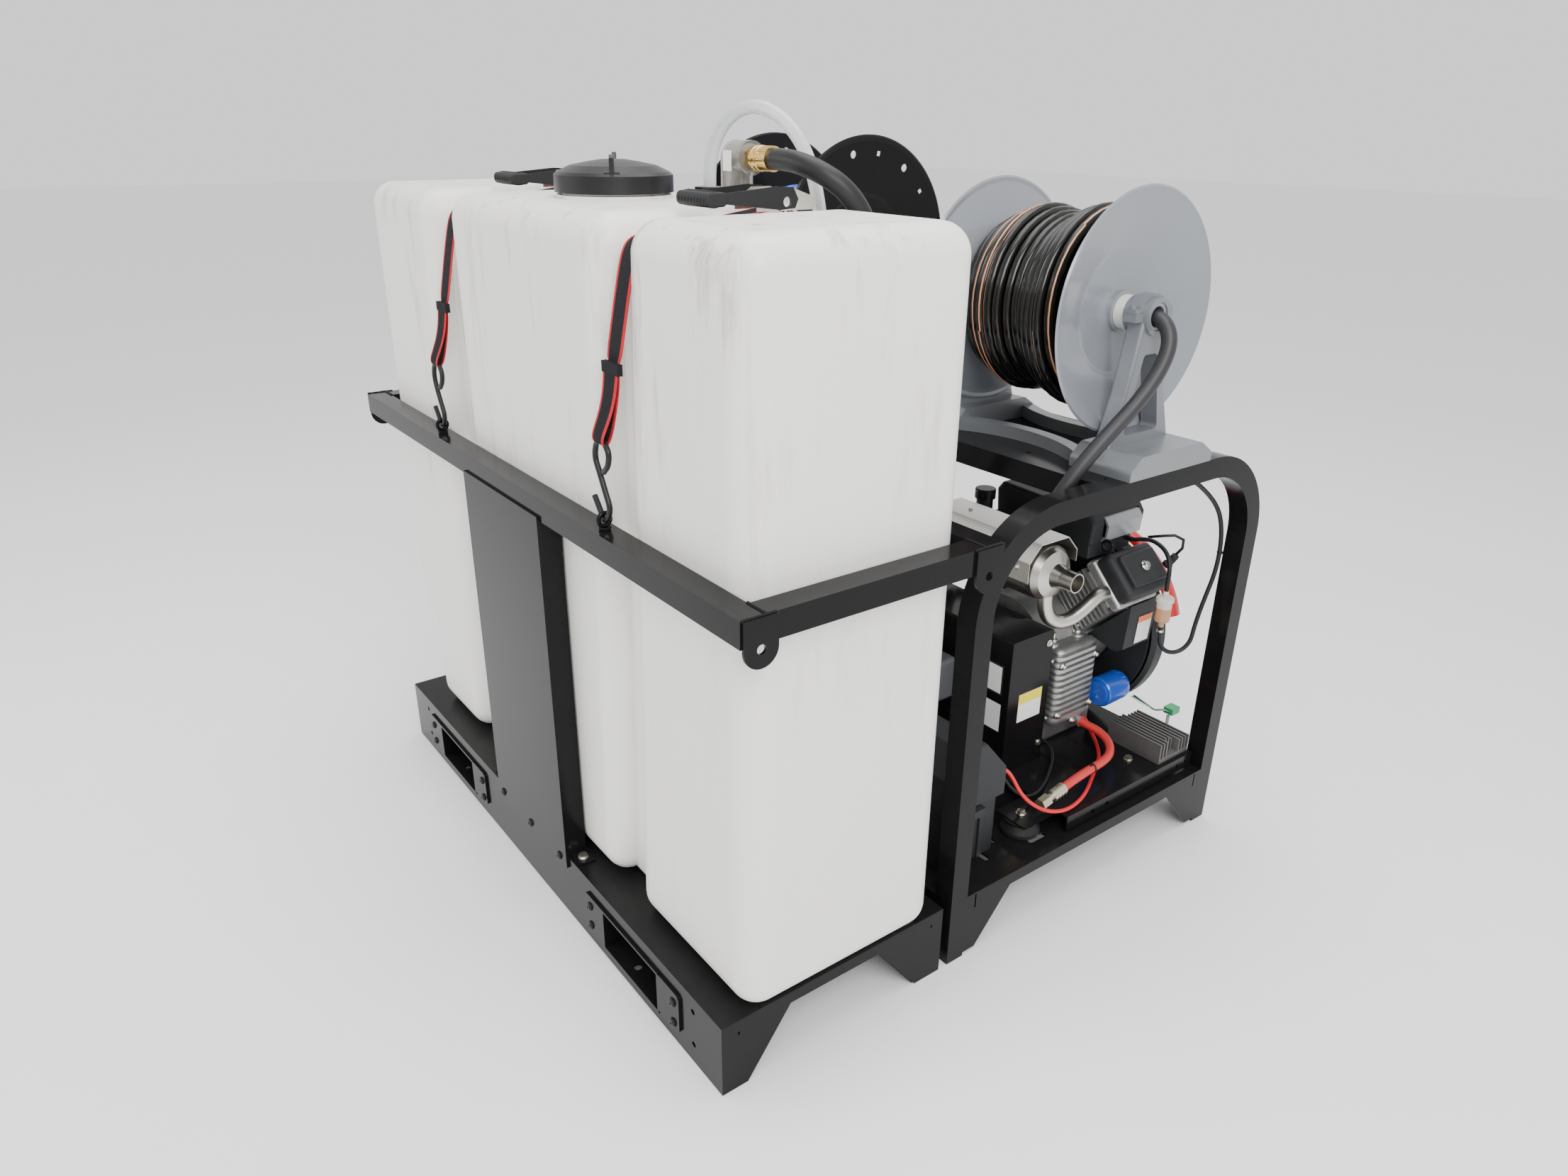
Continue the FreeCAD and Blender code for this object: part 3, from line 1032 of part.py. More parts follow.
def bearing_caps():
    caps = []
    for x0 in (GREY_X1 + 3, GREY_X0 - 3 - ARM_T):
        top = pipe(x0 + 4, REEL_Y, GREY_Z, AX, 42, 36.2, 28).common(box(0, 1600, 900, 1200, GREY_Z + 8.2, 1400))
        ears = [box(x0 + 4, x0 + 32, REEL_Y + s * 47 - 10, REEL_Y + s * 47 + 10, GREY_Z + 8.2, GREY_Z + 16)
                for s in (-1, 1)]
        bolts = [hexagon(x0 + 18, REEL_Y + s * 49, GREY_Z + 16, AZ, 13, 6) for s in (-1, 1)]
        caps.append(join([top] + ears + bolts))
    return caps


def black_disc(x_rim, x_hub):
    disc = lathe(dished_disc(x_rim, x_hub, BLACK_R, 20, 2.5), V(0, REEL_Y, BLACK_Z), AX)
    tools = []
    lo = min(x_rim, x_hub) - 5
    for i in range(8):
        a = 2 * math.pi * i / 8 + 0.2
        tools.append(rod(lo, REEL_Y + 218 * math.cos(a), BLACK_Z + 218 * math.sin(a), AX, 9, 60))
        b = a + 0.42
        sq = box(lo, lo + 60, -5.5, 5.5, -5.5, 5.5)
        sq.rotate(V(0, 0, 0), AX, math.degrees(b))
        sq.translate(V(0, REEL_Y + 218 * math.cos(b), BLACK_Z + 218 * math.sin(b)))
        tools.append(sq)
    return cut(disc, tools)


def black_drum():
    near = black_disc(BLACK_X1, BLACK_X1 - 20)
    far = black_disc(BLACK_X0, BLACK_X0 + 20)
    core = pipe(BLACK_X0 + 20, REEL_Y, BLACK_Z, AX, 90, 87, BLACK_X1 - BLACK_X0 - 40)
    shaft = pipe(BLACK_X0 - 60, REEL_Y, BLACK_Z, AX, 20, 15, BLACK_X1 - BLACK_X0 + 120)
    return join([near, far, core, shaft])


def black_reel_stand():
    """Bent-tube stand: a leg pair and a bearing block at each end, joined by two foot channels."""
    pieces = []
    for x in (BLACK_X0 - 44.0, BLACK_X1 + 12.0):
        for s in (-1, 1):
            outer = [(REEL_Y + s * 12, BLACK_Z - 18), (REEL_Y + s * 12, BLACK_Z + 6), (REEL_Y + s * 30, BLACK_Z + 6),
                     (REEL_Y + s * 150, HOOP_TOP + 4), (REEL_Y + s * 118, HOOP_TOP + 4)]
            pieces.append(prism(outer, AX, x, x + 32))
        pieces.append(rod(x, REEL_Y, BLACK_Z, AX, 34, 32))
    for y in (REEL_Y - 156.0, REEL_Y + 112.0):
        pieces.append(box(BLACK_X0 - 60, BLACK_X1 + 60, y, y + 44, HOOP_TOP, HOOP_TOP + 4))
    body = join(pieces)
    return body.cut(rod(0, REEL_Y, BLACK_Z, AX, 20 + FIT, 900))


# ---------------------------------------------------------------- fittings on the tank's top
ELBOW_X, ELBOW_Y, ELBOW_Z = TOP_PORTS[1][0], TOP_PORTS[1][1], 1522.0


def sight_elbow():
    """Clear round-backed elbow: upright leg on its bulkhead, square-cut outlet along X."""
    leg = rod(ELBOW_X, ELBOW_Y, TANK_TOP + 17, AZ, 29, ELBOW_Z - TANK_TOP - 17)
    ball = Part.makeSphere(29, V(ELBOW_X, ELBOW_Y, ELBOW_Z))
    out = rod(ELBOW_X, ELBOW_Y, ELBOW_Z, AX, 29, 48)
    solid = join([leg, ball, out])
    inner = join([rod(ELBOW_X, ELBOW_Y, TANK_TOP + 16, AZ, 24, ELBOW_Z - TANK_TOP - 16),
                  Part.makeSphere(24, V(ELBOW_X, ELBOW_Y, ELBOW_Z)),
                  rod(ELBOW_X, ELBOW_Y, ELBOW_Z, AX, 24, 36)])
    return solid.cut(inner).cut(rod(ELBOW_X, ELBOW_Y, ELBOW_Z, AX, 11, 60))


def brass_fittings():
    """Hex nipple in the elbow's outlet and the fluted ferrule crimped on the hose's end."""
    x = ELBOW_X + 48
    nipple = join([rod(x - 12, ELBOW_Y, ELBOW_Z, AX, 10.8, 48), hexagon(x, ELBOW_Y, ELBOW_Z, AX, 34, 13)])
    ferrule = rod(x + 36, ELBOW_Y, ELBOW_Z, AX, 21, 28)
    flutes = [rod(x + 40, ELBOW_Y + 22.4 * math.cos(a), ELBOW_Z + 22.4 * math.sin(a), AX, 2.4, 20)
              for a in [2 * math.pi * i / 12 for i in range(12)]]
    return join([nipple, cut(ferrule, flutes)])


def swivel_nut():
    """Free-turning brass collar between the nipple and the ferrule."""
    x = ELBOW_X + 48 + 13 + GAP
    length = 36 - 13 - 2 * GAP
    body = lathe([(10.8 + FIT, 0), (19, 0), (21.5, 3), (21.5, 8), (19.5, 10), (21.5, 12), (21.5, length - 3),
                  (19, length), (10.8 + FIT, length)], V(x, ELBOW_Y, ELBOW_Z), AX)
    grooves = [rod(x + 1, ELBOW_Y + 22.3 * math.cos(a), ELBOW_Z + 22.3 * math.sin(a), AX, 1.5, 6)
               for a in [2 * math.pi * i / 24 for i in range(24)]]
    return cut(body, grooves)


def drain_fitting():
    """Crimped ferrule, collar and hexagon cap on the drain hose's free end."""
    end = V(*DRAIN_HOSE[-1])
    d = (end - V(*DRAIN_HOSE[-2])).normalize()
    parts = [Part.makeCylinder(13.5, 40, end, d), Part.makeCylinder(9, 16, end + d * 38, d)]
    ridge = [Part.makeCylinder(14.6, 4, end + d * s, d) for s in (4, 14, 24, 34)]
    cap = hexagon(0, 0, 0, AZ, 26, 26)
    cap.Placement = FreeCAD.Placement(end + d * 52, FreeCAD.Rotation(AZ, d))
    return join(parts + ridge + [cap])


# ---------------------------------------------------------------- write the nodes
def main():
    os.makedirs("parts", exist_ok=True)
    save("tank_base", tank_base())
    save("fork_pockets", *[fork_pocket(x) for x in POCKET_X])
    save("frame_bolts", *[button_bolt(x, z) for x, z in pocket_bolt_places() + list(MAST_BOLTS)])
    save("upper_frame", upper_frame())
    hex_bolts = [flange_bolt(x, 24, DECK_Z + 4) for x in (MAST_X0 - 22, MAST_X1 + 22)]
    hex_bolts += [flange_bolt(x, y, PLATE_Z) for x in ISOLATOR_X for y in ISOLATOR_Y]
    hex_bolts += [guard_bolt(y, z) for y, z in GUARD_BOLTS]
    save("hex_bolts", *hex_bolts)
    save("ratchet_frames", *[ratchet_frame(x) for x in STRAP_X])
    hooks = []
    for x_eye, x_foot in zip(EYELET_X, STRAP_FOOT_X):
        hooks += [s_hook(x_eye, y, x_foot) for y in (22.0, RAIL_Y1 - 22.0)]
    save("s_hooks", *hooks)
    save("straps", *[piece for x_foot, x_top in zip(STRAP_FOOT_X, STRAP_X) for piece in strap(x_foot, x_top)])
    save("tank", tank())
    save("tank_fittings", *[tank_fitting(x, y, r) for x, y, r in TOP_PORTS])
    save("lid_gasket", lid_gasket())
    save("tank_lid", tank_lid())
    for side, x in zip(("far", "near"), STRAP_X):
        save("ratchet_spool_" + side, ratchet_spool(x))
        save("ratchet_handle_" + side, ratchet_handle(x))
    save("sight_elbow", sight_elbow())
    save("brass_fittings", brass_fittings(), reel_swivel(), fuel_tap())
    save("swivel_nut", swivel_nut())
    save("clear_hose", cord("clear_hose", CLEAR_HOSE, 24.0))
    save("supply_hose", cord("supply_hose", SUPPLY_HOSE, 36.0))
    save("reel_feed_hose", cord("reel_feed_hose", REEL_HOSE, 30.0))
    save("fuel_line_lower", cord("fuel_line_lower", FUEL_LOWER, 10.0))
    save("fuel_line_upper", cord("fuel_line_upper", FUEL_UPPER, 10.0))
    save("drain_hose", cord("drain_hose", DRAIN_HOSE, 20.0))
    save("drain_fitting", drain_fitting())
    save("cable_red", cord("cable_red", CABLE_RED, 9.0))
    save("cable_black", cord("cable_black", CABLE_BLACK, 8.0))
    save("machine_deck", machine_deck())
    save("hoops", *[hoop(x) for x in HOOP_X])
    save("reel_bridge", reel_bridge())
    save("engine_plate", engine_plate())
    save("isolators", *[isolator(x, y) for x in ISOLATOR_X for y in ISOLATOR_Y])
    save("belt_guard", belt_guard())
    save("crankshaft", *crankshaft())
    save("pump_pulley", pump_pulley())
    save("drive_belts", *[drive_belt(PULLEY_Y0 + y) for y in (6.7, 22.7)])
    save("pump_body", pump_body())
    save("pump_head", pump_head(), pump_manifold())
    save("engine_block", crankcase(), cylinder_head(1), cylinder_head(-1))
    save("valve_covers", valve_cover(1), valve_cover(-1))
    save("engine_shrouds", fan_housing(), side_cowl())
    save("air_cleaner", air_cleaner())
    save("air_latch", air_latch())
    save("oil_cap", oil_cap())
    save("muffler", muffler())
    save("heat_shield", *heat_shield())
    save("oil_filter", oil_filter())
    save("fuel_filter", fuel_filter())
    save("rectifier", rectifier())
    save("battery_box", battery_box(), battery())
    save("battery_lid", battery_lid())
    save("grey_reel_drum", grey_drum())
    grey_pack_radii = (150, 168, 176, 186, 190, 186, 176, 172, 180, 192, 200, 196, 172)
    save("grey_reel_hose", pack(GREY_X0 + 47.4, GREY_X1 - 47.4, GREY_Z, 78.0, grey_pack_radii))
    save("grey_reel_stand", grey_reel_stand())
    save("reel_bushes", *reel_bushes())
    save("bearing_caps", *bearing_caps())
    save("black_reel_drum", black_drum())
    blue_pack_radii = (120, 132, 136, 134, 136, 132, 120)
    save("black_reel_hose", pack(BLACK_X0 + 23, BLACK_X1 - 23, BLACK_Z, 90.0, blue_pack_radii))
    save("black_reel_stand", black_reel_stand())


main()
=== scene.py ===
"""Looks for the skid-mounted pressure washer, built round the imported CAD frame.

Places are written in the bench millimetres that part.py uses, and at() turns them into the row's metres.
"""
import bpy
import math
import random
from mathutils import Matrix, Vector


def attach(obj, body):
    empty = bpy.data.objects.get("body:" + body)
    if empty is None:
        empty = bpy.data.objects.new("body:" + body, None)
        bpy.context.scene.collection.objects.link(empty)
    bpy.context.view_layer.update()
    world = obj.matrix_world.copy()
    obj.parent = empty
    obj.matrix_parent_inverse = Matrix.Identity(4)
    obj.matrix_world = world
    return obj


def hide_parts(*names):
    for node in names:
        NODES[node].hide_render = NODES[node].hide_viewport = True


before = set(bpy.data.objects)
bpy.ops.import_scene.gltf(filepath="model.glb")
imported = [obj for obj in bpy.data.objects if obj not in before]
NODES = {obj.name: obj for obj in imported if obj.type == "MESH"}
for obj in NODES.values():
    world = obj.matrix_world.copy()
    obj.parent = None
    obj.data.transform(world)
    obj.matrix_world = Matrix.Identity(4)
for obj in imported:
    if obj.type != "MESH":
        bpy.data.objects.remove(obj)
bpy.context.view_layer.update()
random.seed(7)

MM = 0.001
BENCH_ORIGIN = Vector((773.15, 713.0, 0.0))

# bench places, in millimetres, that several pieces share
CRANK_X, CRANK_Z = 1150.0, 440.0
GUARD_FRONT = 925.0
GUARD_SIDE = 1300.2
FAN_REAR = 1408.0
REEL_Y = 1058.0
GREY_REEL_Z, BLACK_REEL_Z = 1247.0, 1297.0
RAIL_TOP, RAIL_LOW = 951.5, 906.5
STICKER_THICK = 0.0004
BAND_THICK = 0.0003


def at(x, y, z):
    """Row-frame point, in metres, of a bench point in millimetres."""
    return (Vector((x, y, z)) - BENCH_ORIGIN) * MM


# ---------------------------------------------------------------- camera and light
CAMERA_PLACE = (2696.6, -751.8, 1581.1)
CAMERA_TURN = (66.58, -0.469, 53.405)
CAMERA_LENS = 24.73
FLOOR_HALF = 30.0
FLOOR_Z = -0.001


def add_camera():
    data = bpy.data.cameras.new("camera")
    data.sensor_width = 36.0
    data.lens = CAMERA_LENS
    data.clip_end = 60.0
    camera = bpy.data.objects.new("camera", data)
    camera.location = at(*CAMERA_PLACE)
    camera.rotation_euler = [math.radians(a) for a in CAMERA_TURN]
    bpy.context.scene.collection.objects.link(camera)
    bpy.context.scene.camera = camera


def add_area(name, place, aim, size, power):
    data = bpy.data.lights.new(name, "AREA")
    data.shape = "RECTANGLE"
    data.size, data.size_y = size
    data.energy = power
    light = bpy.data.objects.new(name, data)
    light.location = place
    light.rotation_euler = (Vector(aim) - Vector(place)).to_track_quat("-Z", "Y").to_euler()
    bpy.context.scene.collection.objects.link(light)


def add_studio():
    world = bpy.data.worlds.new("studio")
    bpy.context.scene.world = world
    world.use_nodes = True
    world.node_tree.nodes["Background"].inputs["Color"].default_value = (1, 1, 1, 1)
    world.node_tree.nodes["Background"].inputs["Strength"].default_value = 1.15
    add_area("key", (3.6, -1.6, 3.4), (0.3, 0.0, 0.7), (2.4, 2.4), 170)
    add_area("fill", (-1.6, -3.6, 2.4), (0, 0, 0.7), (3.0, 2.0), 45)
    add_area("top", (0.2, 0.2, 4.2), (0, 0, 0), (3.5, 2.5), 110)
    mesh = bpy.data.meshes.new("floor")
    s = FLOOR_HALF
    corners = [(-s, -s, FLOOR_Z), (s, -s, FLOOR_Z), (s, s, FLOOR_Z), (-s, s, FLOOR_Z)]
    mesh.from_pydata(corners, [], [(0, 1, 2, 3)])
    floor = bpy.data.objects.new("floor", mesh)
    bpy.context.scene.collection.objects.link(floor)
    floor.data.materials.append(surface("floor_paint", (0.93, 0.93, 0.93), 0.7, mottle=0.01))


# ---------------------------------------------------------------- materials
GRAIN_HEIGHT = 0.0006
THREAD_HEIGHT = 0.0008
DUST_COLOUR = (0.42, 0.41, 0.39, 1)
SCUFF_COLOUR = (0.27, 0.24, 0.19, 1)
SCUFF_CENTRE = at(1340, 110, 1360)


def surface(name, colour, rough, metal=0.0, mottle=0.08, mottle_scale=9.0, bump=0.0, bump_scale=600.0,
            coat=0.0, dust=0.0, rough_play=0.25, transmission=0.0, subsurface=0.0, shine=0.5):
    """Principled surface whose colour and roughness wander with noise, with a fine grain and settled dust."""
    material = bpy.data.materials.new(name)
    material.use_nodes = True
    tree = material.node_tree
    shader = tree.nodes["Principled BSDF"]
    shader.inputs["Metallic"].default_value = metal
    shader.inputs["Coat Weight"].default_value = coat
    shader.inputs["Specular IOR Level"].default_value = shine
    shader.inputs["Transmission Weight"].default_value = transmission
    shader.inputs["Subsurface Weight"].default_value = subsurface
    shader.inputs["Subsurface Radius"].default_value = (0.02, 0.018, 0.014)
    place = tree.nodes.new("ShaderNodeTexCoord")
    noise = tree.nodes.new("ShaderNodeTexNoise")
    noise.inputs["Scale"].default_value = mottle_scale
    noise.inputs["Detail"].default_value = 6.0
    tree.links.new(place.outputs["Object"], noise.inputs["Vector"])
    mix = tree.nodes.new("ShaderNodeMix")
    mix.data_type = "RGBA"
    mix.inputs["A"].default_value = (*[c * (1 - mottle) for c in colour], 1)
    mix.inputs["B"].default_value = (*[min(1.0, c * (1 + mottle) + 0.1 * mottle * c) for c in colour], 1)
    tree.links.new(noise.outputs["Fac"], mix.inputs["Factor"])
    colour_out = mix.outputs["Result"]
    play = tree.nodes.new("ShaderNodeMapRange")
    play.inputs["To Min"].default_value = max(0.03, rough * (1 - rough_play))
    play.inputs["To Max"].default_value = min(1.0, rough * (1 + rough_play))
    tree.links.new(noise.outputs["Fac"], play.inputs["Value"])
    tree.links.new(play.outputs["Result"], shader.inputs["Roughness"])
    if dust:
        colour_out = add_dust(tree, place, colour_out, dust)
    tree.links.new(colour_out, shader.inputs["Base Color"])
    if bump:
        grain = tree.nodes.new("ShaderNodeTexNoise")
        grain.inputs["Scale"].default_value = bump_scale
        grain.inputs["Detail"].default_value = 3.0
        tree.links.new(place.outputs["Object"], grain.inputs["Vector"])
        raise_it = tree.nodes.new("ShaderNodeBump")
        raise_it.inputs["Strength"].default_value = bump
        raise_it.inputs["Distance"].default_value = GRAIN_HEIGHT
        tree.links.new(grain.outputs["Fac"], raise_it.inputs["Height"])
        tree.links.new(raise_it.outputs["Normal"], shader.inputs["Normal"])
    return material


def add_dust(tree, place, colour_out, amount):
    """Pale dust where a face looks up, broken up by noise."""
    geometry = tree.nodes.new("ShaderNodeNewGeometry")
    split = tree.nodes.new("ShaderNodeSeparateXYZ")
    tree.links.new(geometry.outputs["Normal"], split.inputs["Vector"])
    speck = tree.nodes.new("ShaderNodeTexNoise")
    speck.inputs["Scale"].default_value = 34.0
    speck.inputs["Detail"].default_value = 8.0
    tree.links.new(place.outputs["Object"], speck.inputs["Vector"])
    up = tree.nodes.new("ShaderNodeMapRange")
    up.inputs["From Min"].default_value = 0.3
    up.inputs["To Max"].default_value = amount
    tree.links.new(split.outputs["Z"], up.inputs["Value"])
    both = tree.nodes.new("ShaderNodeMath")
    both.operation = "MULTIPLY"
    tree.links.new(up.outputs["Result"], both.inputs[0])
    tree.links.new(speck.outputs["Fac"], both.inputs[1])
    mix = tree.nodes.new("ShaderNodeMix")
    mix.data_type = "RGBA"
    mix.inputs["B"].default_value = DUST_COLOUR
    tree.links.new(both.outputs["Value"], mix.inputs["Factor"])
    tree.links.new(colour_out, mix.inputs["A"])
    return mix.outputs["Result"]


def tank_plastic():
    """Natural polyethylene: faintly translucent, with grey scuffs near the top and faint upright streaks."""
    material = surface("natural_polyethylene", (0.83, 0.82, 0.775), 0.42, mottle=0.035, mottle_scale=3.0,
                       bump=0.12, bump_scale=260.0, subsurface=0.12)
    tree = material.node_tree
    shader = tree.nodes["Principled BSDF"]
    before = shader.inputs["Base Color"].links[0].from_socket
    place = tree.nodes.new("ShaderNodeTexCoord")
    stretch = tree.nodes.new("ShaderNodeMapping")
    stretch.inputs["Scale"].default_value = (22.0, 22.0, 3.0)
    tree.links.new(place.outputs["Object"], stretch.inputs["Vector"])
    streak = tree.nodes.new("ShaderNodeTexNoise")
    streak.inputs["Scale"].default_value = 1.0
    streak.inputs["Detail"].default_value = 7.0
    streak.inputs["Roughness"].default_value = 0.62
    tree.links.new(stretch.outputs["Vector"], streak.inputs["Vector"])
    ramp = tree.nodes.new("ShaderNodeMapRange")
    ramp.inputs["From Min"].default_value = 0.56
    ramp.inputs["From Max"].default_value = 0.75
    ramp.inputs["To Max"].default_value = 0.5
    tree.links.new(streak.outputs["Fac"], ramp.inputs["Value"])
    split = tree.nodes.new("ShaderNodeSeparateXYZ")
    tree.links.new(place.outputs["Object"], split.inputs["Vector"])
    high = tree.nodes.new("ShaderNodeMapRange")
    high.inputs["From Min"].default_value = 0.5
    high.inputs["From Max"].default_value = 1.43
    high.inputs["To Min"].default_value = 0.12
    tree.links.new(split.outputs["Z"], high.inputs["Value"])
    near = tree.nodes.new("ShaderNodeVectorMath")
    near.operation = "DISTANCE"
    near.inputs[1].default_value = SCUFF_CENTRE
    tree.links.new(place.outputs["Object"], near.inputs[0])
    local = tree.nodes.new("ShaderNodeMapRange")
    local.inputs["From Min"].default_value = 0.2
    local.inputs["From Max"].default_value = 0.05
    local.inputs["To Max"].default_value = 1.5
    tree.links.new(near.outputs["Value"], local.inputs["Value"])
    reach = tree.nodes.new("ShaderNodeMath")
    reach.operation = "ADD"
    tree.links.new(high.outputs["Result"], reach.inputs[0])
    tree.links.new(local.outputs["Result"], reach.inputs[1])
    both = tree.nodes.new("ShaderNodeMath")
    both.operation = "MULTIPLY"
    tree.links.new(ramp.outputs["Result"], both.inputs[0])
    tree.links.new(reach.outputs["Value"], both.inputs[1])
    mix = tree.nodes.new("ShaderNodeMix")
    mix.data_type = "RGBA"
    mix.inputs["B"].default_value = SCUFF_COLOUR
    tree.links.new(both.outputs["Value"], mix.inputs["Factor"])
    tree.links.new(before, mix.inputs["A"])
    tree.links.new(mix.outputs["Result"], shader.inputs["Base Color"])
    return material


def banded(name, low_colour, high_colour, height, rough, transmission=0.0):
    """A surface of two colours, changing at a height in metres."""
    blur = 0.001
    material = surface(name, low_colour, rough, mottle=0.06, transmission=transmission)
    tree = material.node_tree
    shader = tree.nodes["Principled BSDF"]
    before = shader.inputs["Base Color"].links[0].from_socket
    place = tree.nodes.new("ShaderNodeTexCoord")
    split = tree.nodes.new("ShaderNodeSeparateXYZ")
    tree.links.new(place.outputs["Object"], split.inputs["Vector"])
    step = tree.nodes.new("ShaderNodeMapRange")
    step.inputs["From Min"].default_value = height - blur
    step.inputs["From Max"].default_value = height + blur
    tree.links.new(split.outputs["Z"], step.inputs["Value"])
    mix = tree.nodes.new("ShaderNodeMix")
    mix.data_type = "RGBA"
    mix.inputs["B"].default_value = (*high_colour, 1)
    tree.links.new(step.outputs["Result"], mix.inputs["Factor"])
    tree.links.new(before, mix.inputs["A"])
    tree.links.new(mix.outputs["Result"], shader.inputs["Base Color"])
    return material


def crossed(name, colour, thread, rough, pitch, around, transmission=0.0, depth=0.4, share=0.45):
    """Hose cover with two families of spiral threads, laid out on the hose's own UV map."""
    material = surface(name, colour, rough, mottle=0.05, transmission=transmission)
    tree = material.node_tree
    shader = tree.nodes["Principled BSDF"]
    before = shader.inputs["Base Color"].links[0].from_socket
    place = tree.nodes.new("ShaderNodeTexCoord")
    lines = []
    for turn in (1, -1):
        stretch = tree.nodes.new("ShaderNodeMapping")
        stretch.inputs["Scale"].default_value = (pitch, around * turn, 1)
        tree.links.new(place.outputs["UV"], stretch.inputs["Vector"])
        wave = tree.nodes.new("ShaderNodeTexWave")
        wave.bands_direction = "DIAGONAL"
        wave.inputs["Scale"].default_value = 1.0
        tree.links.new(stretch.outputs["Vector"], wave.inputs["Vector"])
        lines.append(wave.outputs["Fac"])
    top = tree.nodes.new("ShaderNodeMath")
    top.operation = "MAXIMUM"
    tree.links.new(lines[0], top.inputs[0])
    tree.links.new(lines[1], top.inputs[1])
    ramp = tree.nodes.new("ShaderNodeMapRange")
    ramp.inputs["From Min"].default_value = 0.72
    ramp.inputs["From Max"].default_value = 0.95
    ramp.inputs["To Max"].default_value = share
    tree.links.new(top.outputs["Value"], ramp.inputs["Value"])
    mix = tree.nodes.new("ShaderNodeMix")
    mix.data_type = "RGBA"
    mix.inputs["B"].default_value = (*thread, 1)
    tree.links.new(ramp.outputs["Result"], mix.inputs["Factor"])
    tree.links.new(before, mix.inputs["A"])
    tree.links.new(mix.outputs["Result"], shader.inputs["Base Color"])
    raise_it = tree.nodes.new("ShaderNodeBump")
    raise_it.inputs["Strength"].default_value = depth
    raise_it.inputs["Distance"].default_value = THREAD_HEIGHT
    tree.links.new(ramp.outputs["Result"], raise_it.inputs["Height"])
    tree.links.new(raise_it.outputs["Normal"], shader.inputs["Normal"])
    return material


def webbing_weave(name, colour):
    """Woven polyester: fine ribs across the strap and a twill along it, on the strap's UV map in metres."""
    material = surface(name, colour, 0.8, mottle=0.25, mottle_scale=120.0, shine=0.15)
    tree = material.node_tree
    shader = tree.nodes["Principled BSDF"]
    place = tree.nodes.new("ShaderNodeTexCoord")
    heights = []
    for direction, scale in (("X", 95.0), ("Y", 120.0)):
        wave = tree.nodes.new("ShaderNodeTexWave")
        wave.bands_direction = direction
        wave.inputs["Scale"].default_value = scale
        wave.inputs["Distortion"].default_value = 0.6
        tree.links.new(place.outputs["UV"], wave.inputs["Vector"])
        heights.append(wave.outputs["Fac"])
    add = tree.nodes.new("ShaderNodeMath")
    add.operation = "ADD"
    tree.links.new(heights[0], add.inputs[0])
    tree.links.new(heights[1], add.inputs[1])
    raise_it = tree.nodes.new("ShaderNodeBump")
    raise_it.inputs["Strength"].default_value = 0.7
    raise_it.inputs["Distance"].default_value = THREAD_HEIGHT
    tree.links.new(add.outputs["Value"], raise_it.inputs["Height"])
    tree.links.new(raise_it.outputs["Normal"], shader.inputs["Normal"])
    return material


